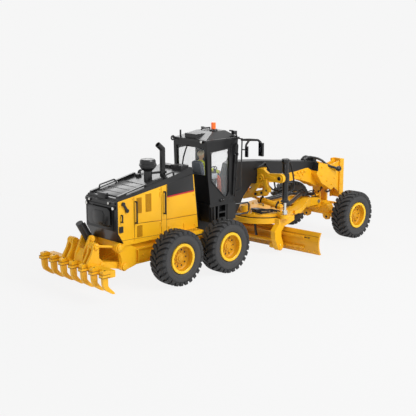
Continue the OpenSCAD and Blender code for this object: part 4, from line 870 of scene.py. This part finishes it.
def makeLamps():
    glow, heads, lenses, glass, foot, dome = [Shape() for i in range(6)]
    glow.sideBoxes(*lamps["roof"])
    inset, y, z = lamps["rear"]
    glow.lathe(at(span("cab_roof")[0].x + inset, y, z), (-1, 0, 0), lamps["rearLens"], steps=20)
    glow.piece("roofLampLenses", "front_frame", whiteLens, bevel=0.04)
    x, y, z = lamps["head"]
    for side in sideNames:
        heads.lathe(at(x, side * y, z), (1, 0, 0), lamps["shell"], steps=28)
        lenses.lathe(at(x, side * y, z), (1, 0, 0), lamps["lens"])
    heads.box(*lamps["clamp"])
    heads.piece("frontLampHeads", "front_frame", blackPaint, bevel=0.2)
    lenses.piece("frontLampLenses", "front_frame", whiteLens)
    arms = pipes("frontLampArms", "front_frame", blackPaint, mirrored([lamps["arm"]]), radius=0.75, bend=1.6)
    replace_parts(arms, "front_lamps")
    for corners in lamps["mirrors"]:
        glass.sideBoxes(*corners)
    glass.piece("mirrorGlass", "front_frame", mirrorPaint, bevel=0.03)
    pipes("mirrorArms", "front_frame", blackPaint, mirrored(lamps["mirrorArms"]), radius=0.6, bend=1.6)
    low, high = span("beacon")
    middle, reach = (low + high) / 2, (high.x - low.x) / 2
    skirt = [(reach + out, rise) for out, rise in lamps["beaconFoot"]] + [lamps["beaconNeck"]]
    foot.lathe(at(middle.x, middle.y, low.z), (0, 0, 1), skirt)
    foot.piece("beaconFoot", "front_frame", blackPaint)
    dome.lathe(at(middle.x, middle.y, high.z), (0, 0, 1), lamps["beaconDome"])
    dome.piece("beaconDome", "front_frame", amberLens)


makeCabTrim()
makeLamps()
print("stage: cab trim made")

# Seat and seated figure: rings give x, z and both half widths
seat = {
    "cushion": [(25.2, 43.8, 3.4, 3.8), (25.2, 44.3, 3.8, 4.2), (25.2, 45.7, 3.8, 4.2),
                (25.2, 46.5, 3.6, 4.0), (25.2, 46.8, 3.0, 3.4)],
    "back": [(22.5, 46.5, 1.0, 3.7), (22.4, 47.4, 1.2, 4.0), (21.7, 52.5, 1.15, 4.0), (21.1, 56.6, 1.0, 3.6),
             (21.0, 57.5, 0.8, 3.0), (21.0, 57.8, 0.4, 2.2)],
    "piping": [(23.5, 3.7, 47.2), (22.8, 3.9, 52.5), (22.0, 3.5, 56.7), (21.7, 2.6, 57.6)],
    "armrest": [(26.6, 47.9, 2.9, 0.9), (26.6, 48.3, 3.5, 1.2), (26.6, 50.3, 3.6, 1.25),
                (26.6, 50.8, 3.2, 0.95)],
    "armSide": 6.6, "bracket": ((23.0, 4.2, 44.8), (26.0, 6.0, 48.4)), "foot": (25.0, 0, 35.3),
    "post": [(2.2, 0), (2.2, 1.4)] + [(2.2 - 0.3 * (i % 2), 1.8 + 0.6 * i) for i in range(10)]
            + [(2.2, 8.4)],
}
figure = {
    "torso": [(25.2, 48.3, 1.6, 2.6), (25.0, 50.0, 1.6, 2.5), (24.6, 53.0, 1.7, 2.7),
              (24.2, 55.8, 1.75, 3.1), (24.0, 57.2, 1.5, 2.8), (24.0, 57.9, 1.0, 1.6),
              (24.0, 58.2, 0.8, 0.9)],
    "hips": [(25.6, 46.9, 1.7, 2.5), (25.5, 47.4, 1.9, 2.75), (25.2, 48.5, 1.65, 2.6)],
    "arm": [(24.0, 2.9, 56.3), (25.4, 4.0, 54.9), (27.0, 4.4, 53.0), (33.2, 4.6, 50.9)], "armRadius": 1.05,
    "leg": [(25.6, 1.6, 48.2), (32.4, 4.8, 48.4), (33.4, 5.0, 46.6), (34.0, 5.0, 37.6)], "legRadius": 1.25,
    "hand": [(0.5, -0.3), (0.8, 0.1), (0.9, 0.8), (0.7, 1.4), (0.25, 1.7)],
    "shoe": [(34.6, 35.6, 1.9, 1.1), (34.6, 36.2, 2.0, 1.2), (34.3, 37.0, 1.5, 1.1), (34.0, 37.7, 1.2, 1.1)],
    "head": [(24.1, 57.9, 0.9, 0.9), (24.3, 59.0, 0.9, 0.85), (24.7, 59.4, 1.35, 1.1),
             (24.5, 60.4, 1.75, 1.45), (24.4, 61.5, 1.85, 1.6), (24.3, 62.4, 1.7, 1.5),
             (24.3, 63.0, 1.2, 1.1), (24.3, 63.3, 0.4, 0.4)],
    "cap": [(24.25, 61.3, 1.95, 1.7), (24.2, 62.2, 1.98, 1.72), (24.2, 62.9, 1.6, 1.4),
            (24.2, 63.35, 0.9, 0.8), (24.2, 63.45, 0.3, 0.3)],
    "capTilt": 0.32, "brim": [(26.3, 61.95, 1.1, 1.2), (26.4, 62.1, 1.1, 1.2)],
    "eyeAt": (26.12, 0.58, 61.15), "eye": [(0.2, -0.1), (0.2, 0.02), (0.08, 0.08)],
    "noseAt": (26.25, 0.0, 60.75), "nose": [(0.3, -0.3), (0.24, 0.1), (0.05, 0.25)],
    "mouth": [(26.0, 0.42, 60.05), (26.14, 0.0, 60.0), (26.0, -0.42, 60.05)],
}


def makeSeat():
    soft, arms, post = Shape(), Shape(), Shape()
    soft.soft(seat["cushion"], power=4.5)
    soft.soft(seat["back"], power=3.6)
    cushions = soft.piece("seatCushions", "front_frame", seatPlastic, smooth=60)
    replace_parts(cushions, "cab_seat")
    for side in sideNames:
        arms.soft(seat["armrest"], side * seat["armSide"], power=4.0)
    arms.sideBoxes(*seat["bracket"])
    arms.piece("seatArmrests", "front_frame", consolePaint, smooth=60)
    post.lathe(at(*seat["foot"]), (0, 0, 1), seat["post"])
    post.piece("seatPost", "front_frame", hosePaint)
    edge = seat["piping"] + [(x, -y, z) for x, y, z in reversed(seat["piping"])]
    pipes("seatPiping", "front_frame", pipingPaint, routed([edge]), radius=0.4, bend=1.4)


def makeFigure():
    vest, hips, skin, cap, shoes, eyes = [Shape() for i in range(6)]
    vest.soft(figure["torso"], power=2.6)
    hips.soft(figure["hips"], power=2.6)
    skin.soft(figure["head"], power=2.2)
    skin.lathe(at(*figure["noseAt"]), (1, 0, 0), figure["nose"], steps=12)
    cap.soft(figure["cap"], power=2.2, tilt=figure["capTilt"])
    cap.soft(figure["brim"], power=2.6)
    sleeves, legs = mirrored([figure["arm"]]), mirrored([figure["leg"]])
    for side, sleeve in zip(sideNames, sleeves):
        skin.lathe(sleeve[-1], sleeve[-1] - sleeve[-2], figure["hand"], steps=16)
        shoes.soft(figure["shoe"], side * figure["leg"][-1][1], power=2.8)
        x, y, z = figure["eyeAt"]
        eyes.lathe(at(x, side * y, z), (1, 0, 0), figure["eye"], steps=12)
    body = vest.piece("figureVest", "front_frame", vestPaint, smooth=60)
    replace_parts(body, "operator_figure")
    hips.piece("figureHips", "front_frame", trouserPaint, smooth=60)
    skin.piece("figureSkin", "front_frame", skinPaint, smooth=60)
    cap.piece("figureCap", "front_frame", capPaint, smooth=60)
    shoes.piece("figureShoes", "front_frame", hosePaint, "figure_paint", smooth=60)
    eyes.piece("figureEyes", "front_frame", hosePaint, "figure_paint")
    pipes("figureSleeves", "front_frame", vestPaint, sleeves, figure["armRadius"], bend=2.0, sides=16)
    pipes("figureLegs", "front_frame", trouserPaint, legs, figure["legRadius"], bend=2.0, sides=16)
    lips = routed([figure["mouth"]])
    pipes("figureMouth", "front_frame", seamPaint, lips, radius=0.07, bend=0.3, sides=8)


makeSeat()
makeFigure()
print("stage: seat and figure made")

# Saddle: pin caps, bosses, holes as dark discs of painted shade, ribs and hoses; outlines and pins give y and
# z
saddle = {
    "face": 66.0, "pins": [(22.0, 45.0), (-22.0, 45.0), (-10.6, 35.4)],
    "leverFace": 69.6, "leverPins": [(-9.0, 43.0), (-8.6, 34.4), (6.4, 41.0), (6.4, 31.0)],
    "pinCap": [(1.5, -0.2), (1.5, 0.3), (1.0, 0.5), (0.9, 0.8), (0.1, 0.85)], "bossAt": (7.6, 43.2),
    "boss": [(2.9, -0.2), (2.9, 0.5), (2.6, 0.8), (1.9, 0.8), (1.8, 0.4), (1.2, 0.4), (1.1, 0.9),
             (0.1, 0.95)],
    "holes": [(-22.0, 45.0, 1.0), (22.0, 45.0, 1.0), (-8.6, 34.9, 0.75), (-3.8, 33.6, 0.75),
              (-7.6, 43.2, 0.5), (7.6, 43.2, 0.5), (-12.6, 36.8, 0.6), (12.6, 36.8, 0.6)],
    "holeDepth": (-0.6, 0.06), "holeOut": 0.9,
    "link": [(1.6, 34.8), (-5.6, 42.6), (-8.0, 41.0), (-0.8, 32.6)], "linkDepth": (-0.6, 0.8),
    "rib": [(10.6, 44.4), (18.6, 44.3), (18.6, 45.6), (10.6, 46.6)], "ribDepth": (-0.5, 0.2),
    "hook": [(9.4, 42.6), (12.6, 43.6), (12.5, 41.4), (13.4, 39.4), (15.0, 37.8), (14.9, 36.2), (12.8, 35.2),
             (11.0, 36.2), (11.5, 38.2), (10.3, 40.2)], "hookDepth": (-0.9, 1.2),
    "hoses": [[(70.0, 8.6, 41.0), (70.8, 9.6, 38.4), (71.2, 12.6, 36.4), (71.2, 15.4, 36.4),
               (71.2, 17.2, 36.6)],
              [(72.4, 7.2, 43.4), (73.0, 11.6, 41.6), (72.8, 12.8, 37.4), (72.8, 12.4, 34.0),
               (73.6, 9.8, 32.6), (74.4, 7.6, 34.8), (74.0, 5.2, 38.6)],
              [(64.0, 4.4, 48.6), (64.2, 6.2, 49.8), (68.0, 6.8, 51.0), (71.4, 6.0, 52.4),
               (73.0, 4.6, 50.2)],
              [(72.2, 5.6, 50.6), (74.6, 6.2, 47.6), (75.4, 5.8, 44.4), (75.4, 4.4, 42.4)]],
    "axleHoses": [[(129.6, 3.2, 33.0), (128.4, 3.6, 30.0), (127.6, 2.8, 27.2), (126.8, 1.6, 26.2)],
                  [(130.6, 3.4, 32.4), (134.2, 4.0, 30.4), (136.4, 4.2, 27.4), (134.6, 4.0, 25.4),
                   (131.6, 3.6, 26.4)]],
}


def makeSaddleTrim():
    face = saddle["face"]
    back, ahead = (-1, 0, 0), (1, 0, 0)
    caps, holes, ribs = Shape(), Shape(), Shape()
    for y, z in saddle["pins"]:
        caps.lathe(at(face, y, z), back, saddle["pinCap"])
    for y, z in saddle["leverPins"]:
        caps.lathe(at(saddle["leverFace"], y, z), ahead, saddle["pinCap"])
    y, z = saddle["bossAt"]
    for side in sideNames:
        caps.lathe(at(face, side * y, z), back, saddle["boss"], steps=40)
    caps.piece("saddlePinCaps", "front_frame", yellowPaint)
    # Each hole is a dark disc: painted shade in place of the hollow.
    for y, z, radius in saddle["holes"]:
        profile = [(radius, depth) for depth in saddle["holeDepth"]]
        holes.lathe(at(face - saddle["holeOut"], y, z), back, profile, steps=20)
    holes.piece("saddleHoles", "front_frame", hosePaint)
    ribs.slab(saddle["link"], *[face + depth for depth in saddle["linkDepth"]])
    for side in sideNames:
        for form in ("rib", "hook"):
            ribs.slab(flipped(saddle[form], side), *[face + depth for depth in saddle[form + "Depth"]])
    ribs.piece("saddleRibs", "front_frame", yellowPaint, bevel=0.25)
    pipes("saddleHoses", "front_frame", hosePaint, mirrored(saddle["hoses"]), radius=0.5, bend=2.2)
    pipes("axleHoses", "front_frame", hosePaint, mirrored(saddle["axleHoses"]), radius=0.55, bend=2.0)


# Cylinders: slim lift tubes with hoses, and the ports of the shift cylinder
cylinder = {
    "foot": (71.0, 22.0, 30.0),
    "barrel": [(1.45, 25.2), (1.45, 0.5), (2.4, 0.5), (2.5, 0.7), (2.5, 1.5), (1.9, 1.8), (1.75, 2.2),
               (1.75, 12.2), (2.3, 12.6), (2.4, 13.0), (2.4, 17.0), (2.3, 17.4), (1.75, 17.8), (1.75, 23.4),
               (2.1, 23.7), (2.3, 24.2), (2.35, 25.6), (2.1, 26.0), (0.1, 26.0)],
    "trunnion": [(1.2, 0.0), (1.2, 3.9), (1.0, 4.0), (0.1, 4.0)], "trunnionAt": (69.4, 22.0, 45.0),
    "hose": [(71.4, 22.4, 55.8), (73.4, 22.6, 55.4), (75.4, 22.6, 51.6), (77.2, 22.6, 46.0),
             (78.2, 22.6, 41.0), (78.0, 22.4, 37.4), (75.8, 22.0, 35.6), (73.0, 22.0, 35.0)],
    "pipe": [(69.6, 23.0, 52.4), (69.0, 23.4, 50.6), (69.0, 23.4, 35.0), (69.8, 23.0, 33.0)],
    "shiftPin": (77.0, -13.7, 25.5), "shiftBall": (70.0, 6.4, 31.0), "portsAt": (2.2, 12.6), "portRise": 1.5,
    "collar": [(1.6, -0.5), (2.0, -0.4), (2.0, 0.6), (1.6, 0.7)],
    "port": [(0.75, 0), (0.75, 0.9), (0.5, 1.0), (0.5, 1.3)],
}


def makeCylinderTrim():
    hoses, lines = mirrored([cylinder["hose"]]), mirrored([cylinder["pipe"]])
    feet, pins = mirrored([[cylinder["foot"]]]), mirrored([[cylinder["trunnionAt"]]])
    for i, word in enumerate(sideNames.values()):
        body = "lift_barrel_" + word
        tube = Shape()
        tube.lathe(feet[i][0], (0, 0, 1), cylinder["barrel"], steps=40)
        tube.lathe(pins[i][0], (-1, 0, 0), cylinder["trunnion"])
        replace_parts(tube.piece("liftTube_" + word, body, blackPaint), body)
        pipes("liftHoses_" + word, body, hosePaint, [hoses[i]], radius=0.5, bend=2.4)
        pipes("liftPipe_" + word, body, blackPaint, [lines[i]], radius=0.32, bend=1.0)
    pin, ball = Vector(cylinder["shiftPin"]), Vector(cylinder["shiftBall"])
    axis = (ball - pin).normalized()
    lift = Vector((1, 0, 0)).cross(axis).normalized()
    ports = Shape()
    for along in cylinder["portsAt"]:
        middle = pin + axis * along
        ports.lathe(at(*middle), axis, cylinder["collar"], steps=28)
        ports.lathe(at(*(middle + lift * cylinder["portRise"])), lift, cylinder["port"], steps=16)
    ports.piece("shiftPorts", "shift_barrel", blackPaint)


# Drawbar: tubes, hoses, a dark ring of painted shade under the plate's edge, valve and bolts
drawbar = {
    "tube": [(84.0, 10.6, 24.4), (88.0, 10.0, 24.9), (96.0, 7.2, 25.8), (103.0, 4.7, 26.9),
             (107.2, 3.4, 27.4)],
    "nosePair": [(106.6, 3.0, 27.2), (110.0, 1.9, 27.0), (115.0, 1.4, 26.4), (119.6, 1.4, 25.6),
                 (123.6, 1.2, 25.2)],
    "noseMiddle": [(108.0, 0.4, 26.6), (112.0, 0.0, 26.0), (117.0, 0.0, 25.4), (121.0, 0.0, 25.2),
                   (124.6, 0.0, 25.4)],
    "platePair": [(80.0, 3.0, 23.4), (82.4, 5.6, 24.2), (84.6, 8.6, 24.4), (86.4, 10.2, 24.4)],
    "plateHoses": [[(66.8, -4.2, 24.2), (68.4, -6.0, 24.4), (69.6, -9.6, 24.2), (67.0, -13.0, 24.0),
                    (62.6, -12.0, 23.8)],
                   [(63.8, -6.6, 24.2), (61.6, -8.6, 24.4), (61.8, -11.6, 24.2), (65.4, -13.6, 24.0),
                    (70.6, -13.4, 23.8)],
                   [(66.8, -5.6, 24.2), (69.0, -4.4, 24.2), (70.2, -1.8, 23.9), (69.0, 0.6, 23.7),
                    (66.4, 0.2, 23.5)],
                   [(64.4, -7.4, 24.0), (62.6, -9.6, 24.9), (65.0, -12.2, 24.8), (69.4, -11.6, 24.4),
                    (72.4, -15.0, 23.6)],
                   [(65.8, -7.4, 24.2), (66.6, -10.4, 24.9), (70.4, -12.2, 24.8), (74.0, -16.0, 23.6)],
                   [(67.0, -3.4, 24.0), (65.0, -1.4, 24.6), (62.2, -3.6, 24.8), (60.4, -8.0, 24.2),
                    (61.4, -13.0, 23.6)]],
    "noseLoops": [[(110.6, -3.8, 26.0), (113.0, -4.0, 28.4), (117.6, -4.0, 28.6), (121.0, -3.8, 26.2),
                   (122.0, -3.8, 24.0)],
                  [(111.6, 3.8, 26.0), (114.0, 4.0, 28.0), (118.0, 4.0, 28.0), (121.0, 3.8, 25.6),
                   (122.0, 3.8, 24.0)]],
    "circle": (74.5, 17.45, 20.95), "shadeRingSteps": 72, "valve": ((63.4, -7.6, 22.9), (67.0, -2.8, 24.9)),
    "bolts": [(60.0, 8.0), (60.0, -8.0), (66.0, 12.4), (66.0, -12.4), (74.0, 14.4), (82.0, 13.6),
              (82.0, -13.6), (89.0, 10.0), (89.0, -10.0), (69.6, 19.0), (69.6, -19.0)], "plateTop": 23.0,
    "boltSize": 1.3,
}


def makeDrawbarTrim():
    tubes = mirrored([drawbar["tube"]])
    pair = pipes("drawbarTubes", "drawbar", blackPaint, tubes, radius=1.2, bend=3.0, sides=20)
    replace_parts(pair, "drawbar_hoses")
    thick = mirrored([drawbar["nosePair"]]) + routed([drawbar["noseMiddle"]])
    pipes("drawbarNoseBundle", "drawbar", hosePaint, thick, radius=0.85, bend=3.0, sides=16)
    slim = routed(drawbar["plateHoses"] + drawbar["noseLoops"]) + mirrored([drawbar["platePair"]])
    pipes("drawbarHoseBundle", "drawbar", hosePaint, slim, radius=0.36, bend=2.2)
    # A dark ring under the plate's edge: painted shade between plate and circle.
    x, reach, z = drawbar["circle"]
    shadeRing = [at(x + reach * math.cos(a), reach * math.sin(a), z) for a in around(drawbar["shadeRingSteps"])]
    pipes("drawbarSeam", "drawbar", hosePaint, [shadeRing + shadeRing[:1]], radius=0.3, bend=0.01, sides=8)
    valve = Shape()
    valve.box(*drawbar["valve"])
    valve.piece("drawbarValve", "drawbar", blackPaint, bevel=0.2)
    places = [at(x, y, drawbar["plateTop"]) for x, y in drawbar["bolts"]]
    bolts = [boltSpot(place, (0, 0, 1), drawbar["boltSize"]) for place in places]
    bolted("drawbarBolts", "drawbar", bolts)


# Front axle: lugs with holes as dark discs of painted shade, and bolts; places give y and z
axle = {
    "lug": [(4.6, 13.4), (5.4, 10.0), (7.6, 8.8), (10.4, 9.4), (11.0, 13.4)], "lugDepth": (-0.9, 0.6),
    "holeAt": (8.2, 10.8), "hole": [(0.8, -1.2), (0.8, 0.05)],
    "bolts": [(3.0, 13.0), (3.0, 17.0), (6.5, 16.4), (9.5, 15.6)], "boltSize": 1.2,
}


def makeAxleTrim():
    face = span("axle_beam")[0].x
    back = (-1, 0, 0)
    first, last = [face + depth for depth in axle["lugDepth"]]
    lugs, holes, bolts = Shape(), Shape(), []
    for side in sideNames:
        lugs.slab(flipped(axle["lug"], side), first, last)
        y, z = axle["holeAt"]
        # Each hole is a dark disc: painted shade in place of the hollow.
        holes.lathe(at(first, side * y, z), back, axle["hole"], steps=20)
        bolts += [boltSpot(at(face, y, z), back, axle["boltSize"]) for y, z in flipped(axle["bolts"], side)]
    lugs.piece("axleLugs", "axle", yellowPaint, bevel=0.3)
    holes.piece("axleHoles", "axle", hosePaint)
    bolted("axleBolts", "axle", bolts)


# Boom: bolts on bolster, flanks and push plate, and small fittings
boom = {
    "bolsterBolts": [(121.0, 43.6), (121.0, 38.4), (126.0, 34.6), (131.0, 31.6), (133.6, 35.4),
                     (133.8, 40.6)],
    "bolsterSize": 1.2, "flankBolts": [(100.0, 38.6), (106.0, 38.0)], "flank": 4.5, "flankSize": 1.1,
    "plateBolts": [(147.4, z) for z in (23.0, 29.0, 35.0, 41.0)], "plateSize": 0.9,
    "fittings": [(99.6, 40.6, 1.4, 0.9), (102.2, 41.3, 2.0, 1.2), (105.4, 41.4, 1.6, 1.5),
                 (108.4, 41.6, 2.2, 1.0), (104.0, 39.6, 1.2, 0.8), (107.2, 39.8, 1.4, 0.9)],
    "fittingSides": (4.4, 5.3),
}


def makeBoomTrim():
    bolts = sideBolts(boom["bolsterBolts"], span("boom")[1].y, boom["bolsterSize"])
    bolts += sideBolts(boom["flankBolts"], boom["flank"], boom["flankSize"])
    bolts += sideBolts(boom["plateBolts"], span("push_plate")[1].y, boom["plateSize"])
    bolted("boomBolts", "front_frame", bolts)
    fittings = Shape()
    y0, y1 = boom["fittingSides"]
    for x, z, long, tall in boom["fittings"]:
        fittings.sideBoxes((x, y0, z), (x + long, y1, z + tall))
    fittings.piece("boomFittings", "front_frame", yellowPaint, bevel=0.3)


makeSaddleTrim()
makeCylinderTrim()
makeDrawbarTrim()
makeAxleTrim()
makeBoomTrim()
print("stage: front trim made")

# Blade: bolts, slots as dark dashes of painted shade, seams, arm caps and tilt lever, in the blade's own
# turned frame
blade = {
    "circle": 74.5, "yaw": math.radians(4.5), "half": 43.0, "middle": 7.5, "radius": 12.2, "back": -1.3,
    "boltRow": 2.7, "boltPitch": 4.0, "boltStart": 0.75, "boltSize": 1.2,
    "slotsAt": (31.4, 33.8, 36.2), "slot": (-0.95, 10.6), "slotLength": 1.4,
    "seams": [(-0.18, 4.1), (-0.5, 11.9)], "seamEnd": 0.4, "armPin": (-7.2, 20.6, 4.2),
    "armCap": [(1.9, -0.3), (1.9, 0.5), (1.6, 0.8), (1.1, 0.8), (1.0, 0.5), (0.1, 0.5)],
    "lever": [(-9.6, -3.0, 17.4), (-9.2, -3.2, 13.0), (-8.6, -3.6, 8.6)],
}
bladeTurn = Matrix.Rotation(blade["yaw"], 3, "Z")


def bladeRoutes(routes):  # routes in the blade's frame, put in the machine's
    centre = Vector((blade["circle"], 0, 0))
    return routed([[centre + bladeTurn @ Vector(p) for p in route] for route in routes])


def makeBladeTrim():
    row, radius, half = blade["boltRow"], blade["radius"], blade["half"]
    rise = row - blade["middle"]
    depth = math.sqrt(radius ** 2 - rise ** 2)
    facing = bladeTurn @ Vector((-depth / radius, 0, rise / radius))
    count = int(2 * half / blade["boltPitch"])
    along = [-half + (i + blade["boltStart"]) * blade["boltPitch"] for i in range(count)]
    places = bladeRoutes([[(blade["back"] + radius - depth, y, row) for y in along]])[0]
    bolted("bladeBolts", "blade", [boltSpot(place, facing, blade["boltSize"]) for place in places])
    # Each slot is a dark dash: painted shade in place of the opening.
    x, z = blade["slot"]
    reach = blade["slotLength"] / 2
    middles = [side * y for y in blade["slotsAt"] for side in sideNames]
    slots = bladeRoutes([[(x, y - reach, z), (x, y + reach, z)] for y in middles])
    pipes("bladeSlots", "blade", hosePaint, slots, radius=0.28, sides=8)
    end = half - blade["seamEnd"]
    seams = bladeRoutes([[(x, -end, z), (x, end, z)] for x, z in blade["seams"]])
    pipes("bladeSeams", "blade", seamPaint, seams, radius=0.12, sides=8)
    caps = Shape()
    x, y, z = blade["armPin"]
    for side in sideNames:
        place = bladeRoutes([[(x, side * y, z)]])[0][0]
        caps.lathe(place, bladeTurn @ Vector((0, side, 0)), blade["armCap"], steps=32)
    caps.piece("bladeArmCaps", "blade_carrier", yellowPaint)
    pipes("tiltLever", "circle", hosePaint, bladeRoutes([blade["lever"]]), radius=0.7, bend=0.6)


makeBladeTrim()
print("stage: blade trim made")

# Ripper: cylinder pipe, pin caps, shank keys and collar seams
ripper = {
    "trunnion": (-55.2, 27.0), "eye": (-46.6, 12.6), "pipe": [(-8.0, 2.5), (3.4, 2.5), (4.6, 1.9)],
    "pins": [(-55.4, 14.6), (-58.2, 24.8)], "pinFace": 11.4,
    "pinCap": [(1.4, -0.5), (1.4, 0.2), (1.1, 0.4), (0.7, 0.4), (0.6, 0.2), (0.1, 0.2)],
    "trunnionFace": 3.5, "trunnionCap": [(1.4, 0.0), (1.4, 0.8), (1.1, 1.1), (0.1, 1.15)],
    "shanks": 7, "reach": 25.2, "keyAt": (-64.4, 16.7), "key": [(0.4, -0.2), (0.4, 0.2), (0.05, 0.25)],
    "collarHalf": 1.5, "collarFront": -62.2, "collarEdges": [13.45, 14.9], "seamOut": 0.02,
}


def makeRipperTrim():
    eye, hinge = Vector(ripper["eye"]), Vector(ripper["trunnion"])  # x and z of the cylinder's ends
    way = (eye - hinge).normalized()
    ahead = Vector((-way.y, way.x))
    spots = [hinge + way * along + ahead * out for along, out in ripper["pipe"]]
    line = [(p.x, 0, p.y) for p in spots]
    pipes("ripperPipe", "ripper_barrel", hosePaint, routed([line]), radius=0.45, bend=0.8)
    caps, keys, seams = Shape(), Shape(), []
    caps.sideCaps(ripper["pins"], ripper["pinFace"], ripper["pinCap"])
    caps.sideCaps([ripper["trunnion"]], ripper["trunnionFace"], ripper["trunnionCap"])
    caps.piece("ripperPinCaps", "ripper", yellowPaint)
    keyX, keyZ = ripper["keyAt"]
    fore, rear = ripper["collarFront"], span("ripper_beam")[0].x - ripper["seamOut"]
    half = ripper["collarHalf"]
    for i in range(ripper["shanks"]):
        y = ripper["reach"] * (2 * i / (ripper["shanks"] - 1) - 1)
        keys.lathe(at(keyX, y, keyZ), (0, 0, 1), ripper["key"], steps=14)
        corners = [(fore, y - half), (rear, y - half), (rear, y + half), (fore, y + half)]
        seams += [[(*corner, z) for corner in corners] for z in ripper["collarEdges"]]
    keys.piece("shankKeys", "ripper", hosePaint)
    pipes("shankSeams", "ripper", seamPaint, routed(seams), radius=0.12, bend=0.05, sides=8)


makeRipperTrim()
print("stage: ripper trim made")

# Studio: pale floor that fades into the backdrop, soft lamps and the camera
studio = {
    "backdrop": "F6F6F6", "ambient": 0.34, "floorGlow": 0.94, "floorFade": (0.16, 0.5), "floorHalf": 9.0,
    "eye": (-326.0, -363.9, 138.4), "target": (29.86, 0.0, 29.78), "focalPixels": 914.8, "framePixels": 416,
    "sensor": 36.0, "clip": (0.01, 50), "lampTarget": (30, 0, 25), "lampSize": 300,
    "lamps": {"key": ((110, -330, 330), 1.8), "fill": ((-420, -160, 200), 0.45),
              "rim": ((220, 280, 300), 0.5)},  # place and power
}


def seenShare(root):  # one for rays that show the backdrop itself
    ray = root.add("ShaderNodeLightPath", pick="Is Camera Ray")
    return root.maths("MINIMUM", ray + ray.side("Is Glossy Ray") + ray.side("Is Transmission Ray"), 1.0)


def buildFloor(root):
    pale = linear(studio["backdrop"])
    lit = root.add("ShaderNodeBsdfDiffuse", {}, {"Color": pale})
    glow = root.add("ShaderNodeEmission", {}, {"Color": pale})
    near = root.add("ShaderNodeMixShader", {}, {0: seenShare(root) * studio["floorGlow"], 1: lit, 2: glow})
    clear = root.add("ShaderNodeBsdfTransparent")
    away = root.add("ShaderNodeVectorMath", {"operation": "LENGTH"}, {0: objectPlace(root)}, "Value")
    return root.add("ShaderNodeMixShader", {}, {0: away.ramp(*studio["floorFade"]), 1: near, 2: clear})


def makeFloor():
    half = studio["floorHalf"]
    corners = [(-half, -half, 0), (half, -half, 0), (half, half, 0), (-half, half, 0)]
    floor = rawObject("floor", corners, faces=[(0, 1, 2, 3)])
    floor.data.materials.append(makeMaterial("floorPaint", buildFloor))


def makeWorld():
    world = bpy.data.worlds.new("studioWorld")
    bpy.context.scene.world = world
    root = emptyTree(world)
    strength = studio["ambient"] + seenShare(root) * (1 - studio["ambient"])
    sky = root.add("ShaderNodeBackground", {}, {"Color": linear(studio["backdrop"]), "Strength": strength})
    root.add("ShaderNodeOutputWorld", {}, {"Surface": sky})


def aimed(name, data, place, target):  # a lamp or camera that looks at a place
    made = newObject(name, data)
    made.location = at(*place)
    made.rotation_mode = "QUATERNION"
    made.rotation_quaternion = (at(*target) - made.location).to_track_quat("-Z", "Y")
    return made


def makeLamp(name, place, power):
    light = bpy.data.lights.new(name, "AREA")
    light.shape = "DISK"
    light.size = studio["lampSize"] * mm
    light.energy = power
    aimed(name, light, place, studio["lampTarget"])


def makeCamera():
    camera = bpy.data.cameras.new("photoCamera")
    camera.sensor_width = studio["sensor"]
    camera.lens = studio["sensor"] * studio["focalPixels"] / studio["framePixels"]
    camera.clip_start, camera.clip_end = studio["clip"]
    bpy.context.scene.camera = aimed("photoCamera", camera, studio["eye"], studio["target"])


makeFloor()
makeWorld()
for lampName, (lampPlace, lampPower) in studio["lamps"].items():
    makeLamp(lampName, lampPlace, lampPower)
makeCamera()
bpy.context.scene.view_settings.view_transform = "Standard"
print("stage: studio made")
